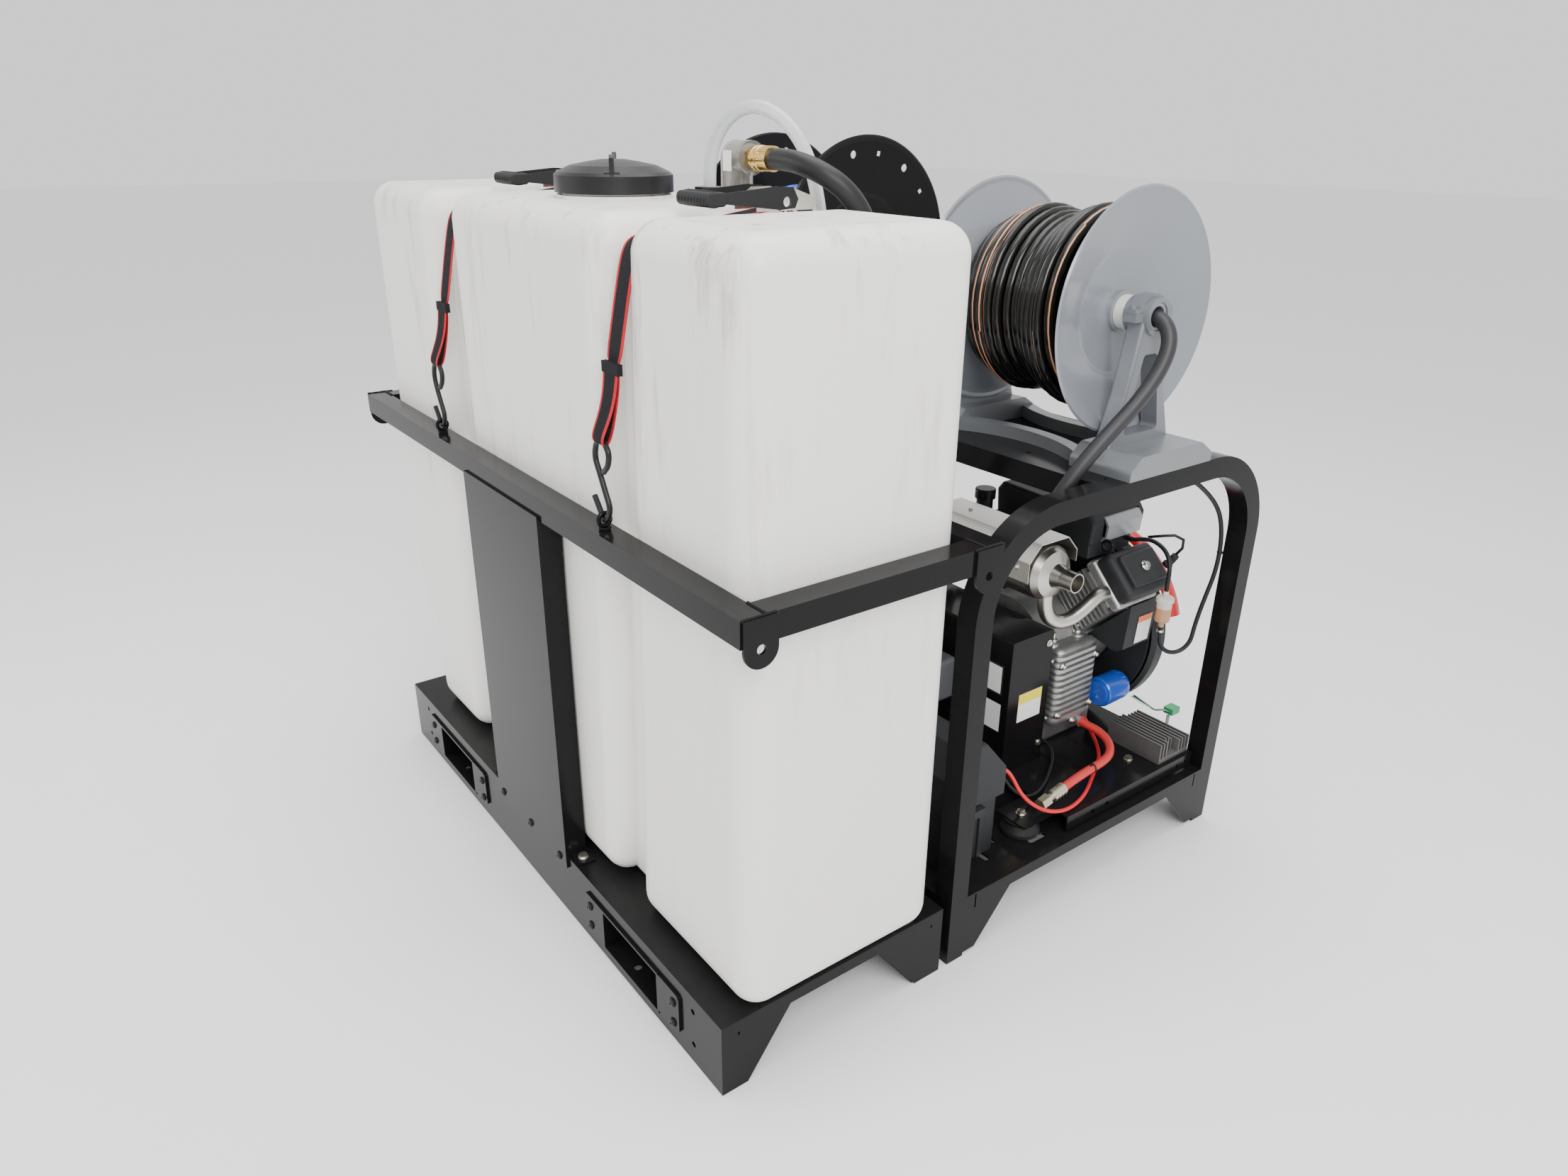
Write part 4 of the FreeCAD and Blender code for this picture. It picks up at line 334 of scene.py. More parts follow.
def make_materials():
    m = {}
    m["black_paint"] = surface("black_powder_coat", (0.0065, 0.0065, 0.0072), 0.16, mottle=0.2, bump=0.05,
                               bump_scale=420.0, dust=0.012, rough_play=0.4, shine=0.13)
    m["black_bolt"] = surface("black_bolt_paint", (0.012, 0.012, 0.013), 0.32, mottle=0.25, bump=0.1,
                              shine=0.25)
    m["zinc"] = surface("zinc_plate", (0.68, 0.66, 0.58), 0.3, metal=1.0, mottle=0.12, mottle_scale=60.0,
                        bump=0.08)
    m["tank"] = tank_plastic()
    m["black_plastic"] = surface("black_polyethylene", (0.012, 0.012, 0.013), 0.33, mottle=0.2, bump=0.1,
                                 bump_scale=500.0, dust=0.02, shine=0.25)
    m["box_plastic"] = surface("grained_black_plastic", (0.02, 0.021, 0.023), 0.5, mottle=0.15, bump=0.35,
                               bump_scale=900.0, dust=0.03, shine=0.25)
    m["grip"] = surface("grip_rubber", (0.014, 0.014, 0.015), 0.55, mottle=0.2, bump=0.25, bump_scale=700.0,
                        shine=0.25)
    m["chrome"] = surface("bright_plate", (0.78, 0.78, 0.77), 0.14, metal=1.0, mottle=0.06, bump=0.03)
    m["smoky"] = surface("smoky_clear_plastic", (0.62, 0.60, 0.56), 0.08, mottle=0.1, transmission=0.85)
    m["brass"] = surface("machined_brass", (0.78, 0.52, 0.18), 0.22, metal=1.0, mottle=0.08,
                         mottle_scale=90.0, bump=0.05)
    m["dull_brass"] = surface("forged_brass", (0.6, 0.42, 0.18), 0.42, metal=1.0, mottle=0.18, bump=0.2)
    m["crimp"] = surface("plated_crimp", (0.66, 0.62, 0.5), 0.34, metal=1.0, mottle=0.15, bump=0.1)
    m["clear_hose"] = crossed("braided_vinyl", (0.86, 0.88, 0.9), (0.95, 0.95, 0.96), 0.22, 150.0, 6.0,
                              transmission=0.55, depth=0.3, share=0.8)
    m["black_hose"] = surface("satin_black_rubber", (0.012, 0.012, 0.013), 0.42, mottle=0.2, bump=0.2,
                              bump_scale=800.0, dust=0.015, shine=0.3)
    m["wrapped_hose"] = crossed("wrapped_rubber", (0.016, 0.016, 0.018), (0.05, 0.05, 0.055), 0.45, 380.0,
                                0.0, depth=0.25, share=0.35)
    m["red_hose"] = crossed("red_hose_cover", (0.62, 0.035, 0.03), (0.45, 0.02, 0.02), 0.38, 200.0, 4.0,
                            depth=0.2)
    m["red_cable"] = surface("red_insulation", (0.62, 0.012, 0.02), 0.3, mottle=0.1)
    m["cast_alloy"] = surface("cast_alloy", (0.46, 0.46, 0.455), 0.42, metal=0.9, mottle=0.2,
                              mottle_scale=30.0, bump=0.5, bump_scale=420.0)
    m["dark_alloy"] = surface("dark_alloy", (0.16, 0.155, 0.15), 0.5, metal=0.6, mottle=0.15,
                              mottle_scale=30.0, bump=0.3, bump_scale=500.0, dust=0.05)
    m["steel"] = surface("machined_steel", (0.5, 0.5, 0.49), 0.32, metal=1.0, mottle=0.1, bump=0.08)
    m["muffler"] = surface("satin_stainless", (0.56, 0.54, 0.50), 0.3, metal=1.0, mottle=0.16,
                           mottle_scale=14.0, bump=0.05)
    m["shield"] = surface("pressed_stainless", (0.66, 0.64, 0.60), 0.24, metal=1.0, mottle=0.1,
                          mottle_scale=10.0, bump=0.04)
    m["pump_paint"] = surface("pump_case_coat", (0.12, 0.125, 0.135), 0.45, metal=0.5, mottle=0.15, bump=0.3)
    m["latch"] = surface("grey_latch", (0.30, 0.31, 0.32), 0.3, metal=0.4, mottle=0.1, bump=0.05)
    m["blue_filter"] = surface("blue_filter_paint", (0.012, 0.07, 0.42), 0.22, mottle=0.12, coat=0.3)
    m["fuel_filter"] = banded("fuel_filter_bowl", (0.66, 0.36, 0.2), (0.86, 0.85, 0.8), 0.578, 0.16,
                              transmission=0.45)
    m["grey_paint"] = surface("grey_powder_coat", (0.235, 0.25, 0.275), 0.2, metal=0.15, mottle=0.05,
                              bump=0.05, bump_scale=420.0, coat=0.25)
    m["grey_cast"] = surface("grey_painted_casting", (0.2, 0.21, 0.225), 0.3, metal=0.3, mottle=0.08,
                             bump=0.35, bump_scale=260.0, coat=0.1)
    m["white_plastic"] = surface("white_bearing_plastic", (0.72, 0.71, 0.68), 0.4, mottle=0.06)
    m["hose_pack"] = surface("glossy_hose", (0.006, 0.0055, 0.005), 0.13, mottle=0.2, mottle_scale=30.0,
                             shine=0.4)
    m["hose_stripe"] = surface("hose_stripe", (0.62, 0.26, 0.12), 0.3, mottle=0.15, mottle_scale=60.0)
    m["blue_pack"] = surface("blue_hose", (0.012, 0.09, 0.42), 0.26, mottle=0.15, mottle_scale=30.0,
                             coat=0.2)
    m["web_black"] = webbing_weave("black_webbing", (0.012, 0.012, 0.014))
    m["web_red"] = webbing_weave("red_webbing", (0.5, 0.02, 0.03))
    for key, name, colour, mottle in (("label_white", "label_stock", (0.8, 0.8, 0.79), 0.03),
                                      ("label_yellow", "label_yellow", (0.85, 0.68, 0.02), 0.04),
                                      ("label_black", "label_black", (0.02, 0.02, 0.02), 0.1),
                                      ("label_orange", "label_orange", (0.8, 0.16, 0.02), 0.05)):
        m[key] = surface(name, colour, 0.35, mottle=mottle, mottle_scale=40.0)
    m["red_plastic"] = surface("red_moulded_plastic", (0.55, 0.02, 0.02), 0.3, mottle=0.08)
    m["green_plastic"] = surface("green_connector", (0.02, 0.35, 0.12), 0.35, mottle=0.1)
    m["grey_plastic"] = surface("grey_clip", (0.25, 0.25, 0.25), 0.4, mottle=0.1)
    return m


NODE_LOOK = {
    "tank_base": "black_paint", "fork_pockets": "black_paint", "upper_frame": "black_paint",
    "machine_deck": "black_paint", "hoops": "black_paint", "reel_bridge": "black_paint",
    "engine_plate": "black_paint", "belt_guard": "black_paint", "ratchet_frames": "zinc",
    "s_hooks": "black_bolt",
    "black_reel_drum": "black_paint", "black_reel_stand": "black_paint", "frame_bolts": "black_bolt",
    "hex_bolts": "zinc", "tank": "tank", "tank_fittings": "black_plastic", "tank_lid": "black_plastic",
    "lid_gasket": "black_hose", "ratchet_spool_far": "chrome", "ratchet_spool_near": "chrome",
    "ratchet_handle_far": "grip", "ratchet_handle_near": "grip", "sight_elbow": "smoky",
    "brass_fittings": "brass", "swivel_nut": "brass", "drain_fitting": "crimp", "isolators": "grip",
    "crankshaft": "steel", "pump_pulley": "dark_alloy", "drive_belts": "black_hose",
    "pump_body": "pump_paint",
    "pump_head": "dull_brass", "engine_block": "cast_alloy", "valve_covers": "box_plastic",
    "engine_shrouds": "box_plastic", "air_cleaner": "box_plastic", "air_latch": "latch",
    "oil_cap": "black_plastic", "muffler": "muffler", "heat_shield": "shield", "oil_filter": "blue_filter",
    "fuel_filter": "fuel_filter", "rectifier": "dark_alloy", "battery_box": "box_plastic",
    "battery_lid": "box_plastic", "grey_reel_drum": "grey_paint", "grey_reel_stand": "grey_cast",
    "bearing_caps": "grey_cast", "reel_bushes": "white_plastic",
}


def dress_nodes(m):
    for name, look in NODE_LOOK.items():
        mesh = NODES[name].data
        mesh.materials.clear()
        mesh.materials.append(m[look])


# ---------------------------------------------------------------- mesh helpers
def piece(name, verts, faces, materials, body, indices=None, uvs=None, smooth=True):
    """A mesh piece that rides on a body. verts are row-frame metres; indices are each face's material."""
    mesh = bpy.data.meshes.new(name)
    mesh.from_pydata([tuple(v) for v in verts], [], faces)
    for material in materials:
        mesh.materials.append(material)
    if indices is not None:
        mesh.polygons.foreach_set("material_index", indices)
    if uvs is not None:
        layer = mesh.uv_layers.new(name="UVMap")
        for loop in mesh.loops:
            layer.data[loop.index].uv = uvs[loop.vertex_index]
    mesh.polygons.foreach_set("use_smooth", [smooth] * len(mesh.polygons))
    mesh.validate()
    obj = bpy.data.objects.new(name, mesh)
    bpy.context.scene.collection.objects.link(obj)
    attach(obj, body)
    return obj


def frames_along(path):
    """Unit tangent, side and up vectors at each point of a path, turned as little as possible."""
    out = []
    up = Vector((0, 0, 1))
    for i, here in enumerate(path):
        tangent = (path[min(i + 1, len(path) - 1)] - path[max(i - 1, 0)]).normalized()
        up = (up - tangent * up.dot(tangent))
        if up.length < 1e-4:
            up = Vector((1, 0, 0)) - tangent * tangent.x
        up.normalize()
        out.append((tangent, tangent.cross(up), up.copy()))
    return out


def tube_piece(name, path, radius, materials, body, sides=12, stripe=None):
    """Round tube along row-frame points. stripe(i, j) picks the material of face j at point i."""
    verts, faces, indices = [], [], []
    for centre, (_, side, up) in zip(path, frames_along(path)):
        for j in range(sides):
            a = 2 * math.pi * j / sides
            verts.append(centre + side * (radius * math.cos(a)) + up * (radius * math.sin(a)))
    for i in range(len(path) - 1):
        for j in range(sides):
            k = (j + 1) % sides
            faces.append((i * sides + j, i * sides + k, (i + 1) * sides + k, (i + 1) * sides + j))
            indices.append(stripe(i, j) if stripe else 0)
    last = (len(path) - 1) * sides
    faces.append(tuple(range(sides))[::-1])
    faces.append(tuple(last + j for j in range(sides)))
    indices += [0, 0]
    return piece(name, verts, faces, materials, body, indices)


def plate_piece(name, corner, along, across, thick, material, body):
    """Thin flat plate: one corner and its two edges as row-frame vectors, standing off along their normal."""
    normal = along.cross(across).normalized() * thick
    base = [corner, corner + along, corner + along + across, corner + across]
    verts = base + [v + normal for v in base]
    faces = [(3, 2, 1, 0), (4, 5, 6, 7), (0, 1, 5, 4), (1, 2, 6, 5), (2, 3, 7, 6), (3, 0, 4, 7)]
    return piece(name, verts, faces, [material], body, smooth=False)


def lathe_piece(name, profile, centre, axis, material, body, sides=40, arc=(0.0, 360.0)):
    """Turned piece: (radius, height) points in millimetres about an axis through centre."""
    turn = Vector((0, 0, 1)).rotation_difference(Vector(axis)).to_matrix()
    full = arc[1] - arc[0] >= 360
    steps = sides if full else sides + 1
    verts, faces = [], []
    for i in range(steps):
        a = math.radians(arc[0] + (arc[1] - arc[0]) * i / sides)
        for r, h in profile:
            verts.append(centre + turn @ (Vector((r * math.cos(a), r * math.sin(a), h)) * MM))
    n = len(profile)
    for i in range(sides):
        for j in range(n - 1):
            k = (i + 1) % steps
            faces.append((i * n + j, k * n + j, k * n + j + 1, i * n + j + 1))
    return piece(name, verts, faces, [material], body)


# ---------------------------------------------------------------- cords
CLEAR_HOSE = ((872, 430, 1467), (872, 430, 1496), (880, 431, 1530), (898, 434, 1562), (926, 439, 1588),
              (962, 446, 1604), (1002, 454, 1606), (1042, 464, 1592), (1076, 474, 1566), (1100, 484, 1530),
              (1113, 492, 1486), (1120, 499, 1438), (1122, 504, 1388), (1120, 507, 1336), (1114, 509, 1282),
              (1107, 511, 1228), (1102, 514, 1176), (1099, 520, 1130), (1097, 534, 1090), (1094, 560, 1058),
              (1091, 596, 1040), (1086, 638, 1028), (1078, 676, 1008), (1068, 706, 976), (1056, 727, 932),
              (1042, 742, 884), (1026, 753, 832), (1009, 761, 786), (989, 771, 742), (967, 784, 700),
              (946, 799, 664), (929, 815, 630), (917, 829, 598), (910, 840, 568), (908, 846, 540),
              (908, 846, 512))
SUPPLY_HOSE = ((1097, 415, 1522), (1133, 415, 1522), (1174, 421, 1516), (1208, 437, 1502), (1232, 462, 1480),
               (1244, 488, 1446), (1248, 504, 1406), (1246, 509, 1360), (1240, 510, 1310), (1233, 509, 1256),
               (1226, 510, 1202), (1221, 513, 1150), (1217, 523, 1104), (1211, 547, 1066), (1203, 584, 1042),
               (1192, 628, 1024), (1178, 670, 1000), (1162, 704, 964), (1144, 727, 920), (1124, 743, 872),
               (1104, 754, 822), (1080, 763, 775), (1056, 775, 741), (1031, 788, 707), (1005, 801, 674),
               (985, 817, 641), (971, 831, 606), (963, 841, 573), (960, 846, 541), (960, 846, 512))
REEL_HOSE = ((1428, 1058, 1247), (1448, 1058, 1247), (1469, 1057, 1239), (1485, 1054, 1222),
             (1493, 1048, 1199), (1494, 1038, 1173), (1492, 1022, 1145), (1488, 999, 1115), (1484, 970, 1086),
             (1478, 938, 1058), (1471, 905, 1027), (1460, 872, 988), (1447, 845, 944), (1430, 828, 896),
             (1404, 818, 850), (1370, 812, 806), (1330, 808, 766), (1284, 806, 732), (1232, 806, 706),
             (1180, 807, 686), (1134, 811, 671), (1096, 817, 657), (1064, 824, 641), (1039, 832, 621),
             (1022, 839, 597), (1014, 844, 570), (1012, 846, 541), (1012, 846, 512))
FUEL_LOWER = ((1440, 1214, 906), (1455, 1214, 906), (1467, 1224, 902), (1472, 1242, 892), (1474, 1270, 874),
              (1474, 1304, 850), (1474, 1337, 822), (1474, 1364, 788), (1475, 1379, 744), (1475, 1385, 694),
              (1474, 1380, 644), (1472, 1364, 598), (1471, 1350, 556), (1470, 1342, 520), (1470, 1338, 490),
              (1462, 1325, 468), (1450, 1305, 460), (1438, 1285, 468), (1430, 1271, 494), (1430, 1271, 530))
FUEL_UPPER = ((1430, 1271, 618), (1430, 1271, 638), (1428, 1275, 661), (1420, 1281, 683), (1404, 1287, 701),
              (1382, 1290, 711), (1358, 1292, 714), (1334, 1291, 709), (1312, 1290, 700), (1290, 1290, 700))
DRAIN_HOSE = ((1316, 1180, 256), (1342, 1180, 256), (1369, 1182, 254), (1397, 1176, 249), (1421, 1160, 244),
              (1438, 1134, 241), (1446, 1102, 240), (1449, 1066, 240), (1450, 1030, 238), (1451, 994, 234),
              (1452, 958, 228))
CABLE_RED = ((1420, 750, 331), (1420, 768, 331), (1421, 785, 328), (1424, 800, 316), (1428, 813, 296),
             (1433, 824, 272), (1444, 836, 248), (1460, 852, 229), (1476, 876, 214), (1485, 906, 205),
             (1487, 940, 200), (1482, 976, 199), (1471, 1012, 198), (1455, 1047, 198), (1437, 1081, 199),
             (1420, 1114, 200), (1402, 1148, 201), (1380, 1178, 203), (1352, 1202, 207), (1322, 1220, 213),
             (1300, 1234, 222), (1281, 1240, 232), (1262, 1240, 232))
CABLE_BLACK = ((1380, 750, 331), (1380, 768, 331), (1381, 784, 328), (1384, 798, 317), (1389, 811, 298),
               (1395, 823, 275), (1402, 837, 252), (1409, 856, 231), (1412, 880, 214), (1410, 910, 205),
               (1402, 942, 201), (1389, 972, 199), (1374, 1001, 198.5), (1357, 1029, 199), (1341, 1055, 200),
               (1323, 1078, 203), (1302, 1094, 208), (1282, 1100, 212), (1262, 1100, 212))


def cord_piece(name, points, diameter, material):
    """A hose or cable as one smooth curve along its route, in place of its plain CAD tube."""
    curve = bpy.data.curves.new(name, "CURVE")
    curve.dimensions = "3D"
    curve.bevel_depth = diameter / 2
    curve.bevel_resolution = 5
    curve.resolution_u = 8
    curve.use_fill_caps = True
    spline = curve.splines.new("NURBS")
    spline.points.add(len(points) - 1)
    for point, place in zip(spline.points, points):
        point.co = (*at(*place), 1)
    spline.order_u = 3
    spline.use_endpoint_u = True
    curve.materials.append(material)
    obj = bpy.data.objects.new(name + "_curve", curve)
    bpy.context.scene.collection.objects.link(obj)
    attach(obj, "frame")
    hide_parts(name)
    at(*points[0])


def add_cords(m):
    cord_piece("clear_hose", CLEAR_HOSE, 0.024, m["clear_hose"])
    cord_piece("supply_hose", SUPPLY_HOSE, 0.036, m["black_hose"])
    cord_piece("reel_feed_hose", REEL_HOSE, 0.030, m["wrapped_hose"])
    cord_piece("fuel_line_lower", FUEL_LOWER, 0.010, m["black_hose"])
    cord_piece("fuel_line_upper", FUEL_UPPER, 0.010, m["black_hose"])
    cord_piece("drain_hose", DRAIN_HOSE, 0.020, m["red_hose"])
    cord_piece("cable_red", CABLE_RED, 0.009, m["red_cable"])
    cord_piece("cable_black", CABLE_BLACK, 0.008, m["black_hose"])


# ---------------------------------------------------------------- straps
STRAP_W, STRAP_T = 50.0, 3.0
STRAP_X = (449.0, 1177.0)
STRAP_FOOT_X = (427.0, 1165.0)
HANG = ((48, 1221), (57, 1270), (66, 1320), (74, 1360), (80, 1386), (85, 1399), (93, 1411), (108, 1419),
        (150, 1425), (240, 1436), (338, 1449))
LOOP = ((48, 1223), (46, 1190), (41, 1155), (34.5, 1122), (29, 1106), (23, 1099), (16.5, 1102), (15, 1112),
        (23, 1130), (34.5, 1158), (41.5, 1190), (44, 1223))
SEAM_Z = 1221.0
STRAP_EDGE = 4.5
STRAP_SIDE, STRAP_CROWN = 0.65, 0.35
LOOP_GATHER = 14
ROLL_Y, ROLL_Z, ROLL_R = 352, 1462, 12.5
REAR_HANG = ((497, 1104), (488, 1160), (479, 1221), (469, 1270), (460, 1320), (451, 1362), (446, 1386),
             (441, 1399), (433, 1411), (420, 1422), (400, 1440), (366, 1449))


def web_piece(name, points, width_at, m):
    """Strap along (x, y, z) points with a red edge each side; width_at(i) is its width in millimetres."""
    spots = [at(*p) for p in points]
    verts, faces, indices, uvs = [], [], [], []
    run = 0.0
    for i, here in enumerate(spots):
        before, after = spots[max(i - 1, 0)], spots[min(i + 1, len(spots) - 1)]
        tangent = (after - before).normalized()
        across = Vector((1, 0, 0))
        across = (across - tangent * across.dot(tangent)).normalized()
        normal = tangent.cross(across) * (STRAP_T / 2 * MM)
        half = width_at(i) / 2
        run += (here - before).length if i else 0.0
        for offset in (-half, -half + STRAP_EDGE, 0.0, half - STRAP_EDGE, half):
            crown = STRAP_CROWN * (1 - (offset / half) ** 2)
            for sign in (1, -1):
                verts.append(here + across * (offset * MM) + normal * sign * (STRAP_SIDE + crown))
                uvs.append((offset * MM, run))
    per = 10
    for i in range(len(spots) - 1):
        a, b = i * per, (i + 1) * per
        for k in range(4):
            top = (a + 2 * k, a + 2 * k + 2, b + 2 * k + 2, b + 2 * k)
            low = (a + 2 * k + 1, b + 2 * k + 1, b + 2 * k + 3, a + 2 * k + 3)
            faces += [top, low]
            indices += [1 if k in (0, 3) else 0] * 2
        faces += [(a, b, b + 1, a + 1), (a + 8, a + 9, b + 9, b + 8)]
        indices += [1, 1]
    for a in (0, (len(spots) - 1) * per):
        faces.append((a, a + 1, a + 3, a + 5, a + 7, a + 9, a + 8, a + 6, a + 4, a + 2))
        indices.append(0)
    obj = piece(name, verts, faces, [m["web_black"], m["web_red"]], "frame", indices, uvs)
    smooth = obj.modifiers.new("soften", "SUBSURF")
    smooth.levels = smooth.render_levels = 2
    return obj


def leaning(points, x_foot, x_top, z_foot=1104.0, z_top=1388.0):
    """Add x to (y, z) points so that the strap leans from its foot to where it crosses the top."""
    out = []
    for y, z in points:
        share = min(1.0, max(0.0, (z - z_foot) / (z_top - z_foot)))
        out.append((x_foot + (x_top - x_foot) * share, y, z))
    return out


def add_straps(m):
    def even(i):
        return STRAP_W

    def gathered(i):
        middle = (len(LOOP) - 1) / 2
        return STRAP_W - LOOP_GATHER * (1 - abs(i - middle) / middle)

    for side, x_foot, x_top in zip(("far", "near"), STRAP_FOOT_X, STRAP_X):
        roll = [(x_top, ROLL_Y + ROLL_R * math.cos(a), ROLL_Z + ROLL_R * math.sin(a))
                for a in [math.radians(20 * i) for i in range(18)]]
        for tag, route, width_at in (("front", leaning(HANG, x_foot, x_top), even),
                                     ("loop", leaning(LOOP, x_foot, x_top), gathered),
                                     ("rear", leaning(REAR_HANG, x_foot, x_top), even),
                                     ("roll", roll, even)):
            web_piece("strap_" + side + "_" + tag, route, width_at, m)
        x_seam = leaning([(48, SEAM_Z)], x_foot, x_top)[0][0]
        plate_piece("sewn_bar_" + side, at(x_seam - 26.5, 51, SEAM_Z - 9), Vector((0.053, 0, 0)),
                    Vector((0, 0, 0.018)), 0.0095, m["web_black"], "frame")
    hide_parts("straps")


# ---------------------------------------------------------------- hose wound on the reels
STEPS_PER_TURN = 44
HOSE_SIDES = 20
NESTING = 0.78
SLACK = 2.6
OVAL = 1.2


def wound_hose(name, node, body, x0, x1, centre_z, radii, dia, materials, seed, stripe_step=0.0):
    """Hose wound side by side on a drum: an outer layer that follows uneven radii and one just under it."""
    dice = random.Random(seed)
    count = int((x1 - x0) / dia)
    pitch = (x1 - x0 - dia) / (count - 1)

    def outer(x):
        place = (x - x0) / (x1 - x0) * (len(radii) - 1)
        i = min(int(place), len(radii) - 2)
        return radii[i] + (radii[i + 1] - radii[i]) * (place - i) - dia / 2
    for layer, drop in (("outer", 0.0), ("under", dia * NESTING)):
        path = []
        wobble = [dice.uniform(-SLACK, 0.0) for _ in range(count + 2)]
        phase = [dice.uniform(0, 6.28) for _ in range(count + 2)]
        shift = pitch / 2 if drop else 0.0
        turns = count - 1
        for i in range(turns * STEPS_PER_TURN + 1):
            turn = i / STEPS_PER_TURN
            k = int(turn)
            part = turn - k
            ease = part * part * (3 - 2 * part)
            a = 2 * math.pi * turn
            x = min(x0 + dia / 2 + shift + pitch * (k + ease), x1 - dia / 2)
            lift = wobble[k] * (1 - ease) + wobble[k + 1] * ease
            r = outer(x) - drop + lift + OVAL * math.sin(2 * a + phase[k])
            path.append(at(x, REEL_Y + r * math.cos(a), centre_z + r * math.sin(a)))

        def stripe(i, j):
            if not stripe_step:
                return 0
            where = int(14 + HOSE_SIDES * 0.5 * math.sin(i * stripe_step)) % HOSE_SIDES
            return 1 if j == where else 0
        obj = tube_piece(name + "_" + layer, path, dia / 2 * MM, materials, body, HOSE_SIDES, stripe)
        if not drop:
            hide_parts(node)
    core = [(r - 2.0 * dia, x0 + (x1 - x0) * i / (len(radii) - 1)) for i, r in enumerate(radii)]
    lathe_piece(name + "_core", core, at(0, REEL_Y, centre_z), (1, 0, 0), materials[0], body)


# ---------------------------------------------------------------- small pieces
def bead(name, points, m, size=3.2):
    """Weld bead: overlapping round scales along a line of bench points."""
    ring, rows = 8, 4
    verts, faces = [], []
    spots = [Vector(p) for p in points]
    for a, b in zip(spots, spots[1:]):
        count = max(2, int((b - a).length / (size * 0.9)))
        for i in range(count):
            centre = a.lerp(b, i / count)
            r = size * (0.9 + 0.25 * random.random())
            start = len(verts)
            for row in range(rows + 1):
                lat = math.pi * row / rows
                for k in range(ring):
                    lon = 2 * math.pi * k / ring
                    verts.append(at(*(centre + Vector((r * math.sin(lat) * math.cos(lon),
                                                       r * math.sin(lat) * math.sin(lon),
                                                       r * math.cos(lat))))))
            for row in range(rows):
                for k in range(ring):
                    n = (k + 1) % ring
                    faces.append((start + row * ring + k, start + (row + 1) * ring + k,
                                  start + (row + 1) * ring + n, start + row * ring + n))
    return piece(name, verts, faces, [m["black_paint"]], "frame")


def add_welds(m):
    for tag, x in (("near", 1546.0), ("far", 0.3)):
        for end, y in (("front", 45.0), ("rear", 483.0)):
            step = 45 if tag == "near" else -45
            bead("weld_rail_" + tag + "_" + end, [(x, y, RAIL_TOP), (x + step, y, RAIL_TOP)], m)
            bead("weld_rail_low_" + tag + "_" + end, [(x, y, RAIL_LOW), (x + step, y, RAIL_LOW)], m)
    for tag, x in (("near", 1591.5), ("far", -45.2)):
        for end, y in (("front", 33.5), ("rear", 491.0)):
            bead("weld_ear_" + tag + "_" + end, [(x, y - 30, 951), (x, y + 30, 951)], m)
    for tag, x in (("near", 1480.0), ("far", 45.0)):
        for y in (880.0, 925.0, 1191.0, 1236.0):
            bead("weld_bridge_" + tag + "_" + str(int(y)), [(x, y, 958.7), (x, y, 914)], m)
    for x in (415.0, 1160.0):
        ring = [(x + 9.5 * math.cos(a), 22 + 9.5 * math.sin(a), 955) for a in
                [2 * math.pi * i / 12 for i in range(13)]]
        bead("weld_eyelet_" + str(int(x)), ring, m, size=1.8)


def add_labels(m):
    """Blank stickers where the machine carries its labels, with no words on them."""
    along = Vector((0, 0.077, 0))
    plate_piece("guard_label", at(GUARD_SIDE, 961, 320), along, Vector((0, 0, 0.072)), STICKER_THICK,
                m["label_white"], "frame")
    plate_piece("guard_label_band", at(GUARD_SIDE + 0.4, 961, 366), along, Vector((0, 0, 0.026)), BAND_THICK,
                m["label_yellow"], "frame")
    for name, x0, z0, wide, high, look, lift in (
            ("front_label_frame", 1196, 392, 84, 76, "label_black", 0.2),
            ("front_label", 1201, 397, 74, 66, "label_white", 0.6),
            ("front_label_lower", 1196, 300, 84, 70, "label_white", 0.2)):
        y = GUARD_FRONT - lift
        plate_piece(name, at(x0, y, z0), Vector((wide * MM, 0, 0)), Vector((0, 0, high * MM)),
                    STICKER_THICK, m[look], "frame")
    slope = at(1377.6, 0, 571.0) - at(1370.6, 0, 458.0)
    corner = at(1371.2, 1265, 464)
    plate_piece("shroud_label", corner, Vector((0, 0.05, 0)), slope * 0.62, STICKER_THICK,
                m["label_white"], "frame")
    plate_piece("shroud_label_band", corner + slope * 0.48 + Vector((STICKER_THICK, 0, 0)),
                Vector((0, 0.05, 0)), slope * 0.14, BAND_THICK, m["label_orange"], "frame")
    plate_piece("elbow_tag", at(985, 385.6, 1500), Vector((0.026, 0, 0)), Vector((0, 0, 0.034)), 0.0006,
                m["label_white"], "frame")


def zip_tie(name, centre, direction, radius, m):
    """Tie round a hose: a thin band with its square head."""
    direction = Vector(direction).normalized()
    lathe_piece(name, [(radius, -2), (radius + 1.2, -2), (radius + 1.2, 2), (radius, 2), (radius, -2)],
                at(*centre), direction, m["black_plastic"], "frame")
    side = direction.cross(Vector((0, 0, 1))).normalized()
    up = side.cross(direction).normalized()
    corner = at(*centre) + up * (radius * MM) - side * 0.003 - direction * 0.003
    plate_piece(name + "_head", corner, side * 0.006, direction * -0.006, 0.005, m["black_plastic"],
                "frame")


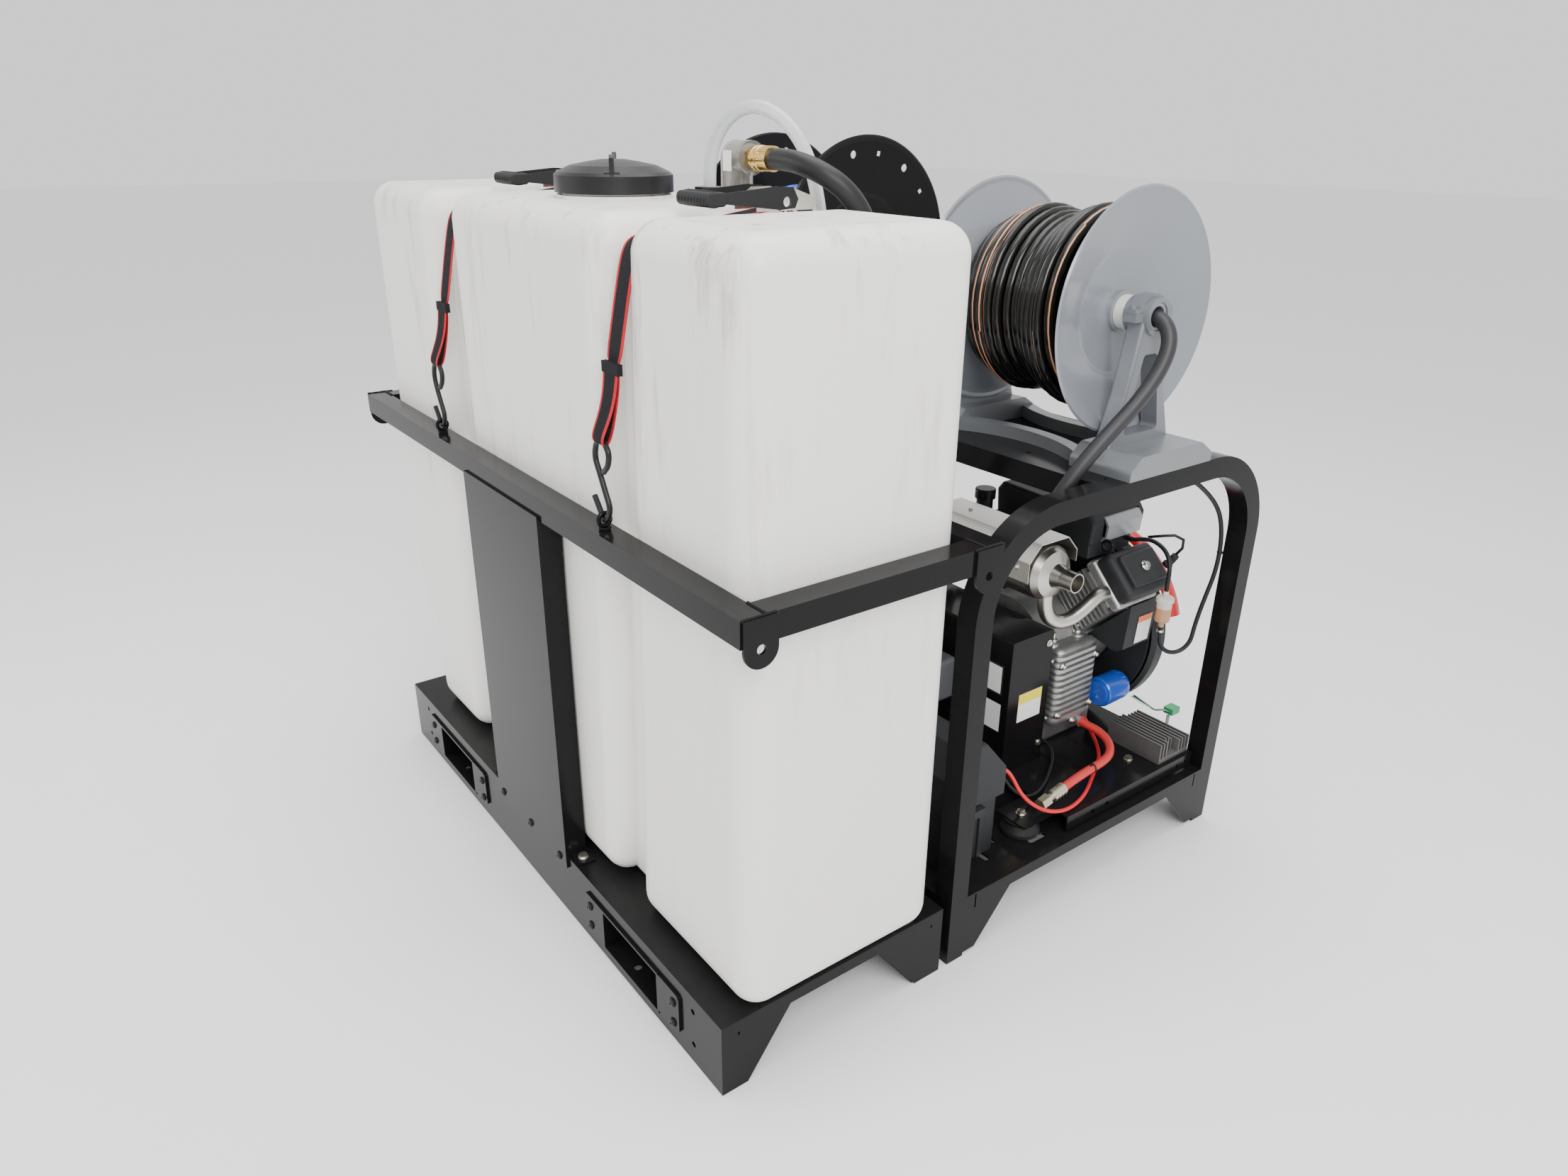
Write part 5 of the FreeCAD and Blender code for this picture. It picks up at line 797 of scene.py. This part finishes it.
def add_engine_details(m):
    arc = (-70.0, -16.0)
    lathe_piece("fan_cover_red", [(222, 60), (240, 68), (250, 60), (253, 44), (246, 30), (236, 28)],
                at(CRANK_X, FAN_REAR - 62, CRANK_Z), (0, 1, 0), m["red_plastic"], "frame",
                48, arc)
    for i, (y, z) in enumerate(((1098, 470), (1186, 470))):
        x = 1268
        stud = [(0, 30), (5, 30), (7, 26), (7, 14), (11, 13), (11, 6), (8, 5), (8, -2)]
        lathe_piece("cover_stud_" + str(i), stud, at(x, y, z), (0, 0, 1), m["zinc"], "frame",
                    6)
        lathe_piece("cover_stud_boss_" + str(i), [(0, 6), (15, 5), (17, -2)], at(x, y, z - 1), (0, 0, 1),
                    m["cast_alloy"], "frame", 24)
    for i, (x, z) in enumerate(((1250, 290), (1290, 290), (1250, 440), (1290, 440))):
        lathe_piece("cover_screw_" + str(i), [(0, 6), (4.6, 6), (5, 5), (5, 0)], at(x, 1078.2, z), (0, -1, 0),
                    m["zinc"], "frame", 6)
    for i, (y, z) in enumerate(((1092, 300), (1208, 300), (1092, 430), (1208, 430), (1150, 268))):
        lathe_piece("block_screw_" + str(i), [(0, 6), (5.4, 6), (6, 5), (6, 0), (9, 0), (9, -1)],
                    at(1312, y, z), (1, 0, 0), m["zinc"], "frame", 12)
    lead = [at(*p) for p in ((1384, 1352, 668), (1396, 1362, 690), (1398, 1358, 712), (1384, 1342, 722),
                             (1360, 1330, 716), (1330, 1322, 706))]
    tube_piece("spark_lead", lead, 0.0035, [m["black_hose"]], "frame", 10)
    lathe_piece("spark_cap", [(0, 26), (8, 25), (9, 18), (9, 0), (12, -2), (12, -10), (0, -10)],
                at(1378, 1346, 652), (0.5, 0.2, 0.9), m["grip"], "frame", 16)
    slant = 0.7071
    reach = 314 * slant + 2
    lathe_piece("valve_cover_bolt", [(0, 8), (7, 8), (8, 6), (8, 0), (12, 0), (12, -1)],
                at(CRANK_X + reach, 1262, CRANK_Z + reach), (slant, 0, slant), m["steel"], "frame",
                18)
    eye = [at(1330 + 13 * math.cos(a), 1172, 716 + 13 * math.sin(a)) for a in
           [2 * math.pi * i / 24 for i in range(25)]]
    tube_piece("lifting_eye", eye, 0.004, [m["black_paint"]], "frame", 10)


def add_wiring(m):
    lathe_piece("tie_foot", [(0, 0), (9, 0), (9, 4), (4, 6), (4, 46), (0, 47)], at(1404, 1408, 192),
                (0, 0, 1), m["grey_plastic"], "frame", 18)
    plate_piece("green_connector", at(1392, 1402, 244), Vector((0.026, 0, 0)), Vector((0, 0.03, 0)), 0.016,
                m["green_plastic"], "frame")
    for i, look in enumerate(("label_white", "green_plastic", "black_hose", "grey_plastic")):
        wire = [at(*p) for p in ((1396 + 5 * i, 1402, 252), (1394 + 4 * i, 1388, 257 + i),
                                 (1380 + 3 * i, 1374, 256), (1356, 1366 + 3 * i, 262),
                                 (1330, 1352 + 4 * i, 276))]
        tube_piece("wire_" + str(i), wire, 0.0017, [m[look]], "frame", 8)
    zip_tie("drain_tie", (1449, 1060, 240), (0, 1, 0), 10.4, m)
    zip_tie("fuel_tie", (1475, 1385, 700), (0, 0, 1), 5.4, m)
    lathe_piece("filter_clip", [(6.4, 0), (7.6, 0), (7.6, 6), (6.4, 6)], at(1430, 1271, 516), (0, 0, 1),
                m["zinc"], "frame", 20)


def add_grips(m):
    """Ribbed rubber sleeves on the ratchet handles' grips."""
    grip_y, grip_z, half_wide, half_high = 216, 1469, 20.6, 11.6
    for side, x in zip(("far", "near"), STRAP_X):
        for i in range(9):
            u = -36 + 9 * i
            ring = [at(x + u, grip_y + half_wide * math.cos(a), grip_z + half_high * math.sin(a)) for a in
                    [2 * math.pi * k / 20 for k in range(21)]]
            tube_piece("grip_rib_" + side + "_" + str(i), ring, 0.0014, [m["grip"]], "handle_" + side,
                       6)


# ---------------------------------------------------------------- build
add_camera()
materials = make_materials()
add_cords(materials)
add_studio()
dress_nodes(materials)
add_straps(materials)
wound_hose("grey_pack", "grey_reel_hose", "grey_reel", 1083.4, 1360.6, GREY_REEL_Z,
           (150, 168, 176, 186, 190, 186, 176, 172, 180, 192, 200, 196, 172), 19.5,
           [materials["hose_pack"], materials["hose_stripe"]], 3, stripe_step=0.013)
wound_hose("blue_pack", "black_reel_hose", "black_reel", 238.0, 577.0, BLACK_REEL_Z,
           (120, 132, 136, 134, 136, 132, 120), 19.0, [materials["blue_pack"]], 5)
add_welds(materials)
add_labels(materials)
add_engine_details(materials)
add_wiring(materials)
add_grips(materials)
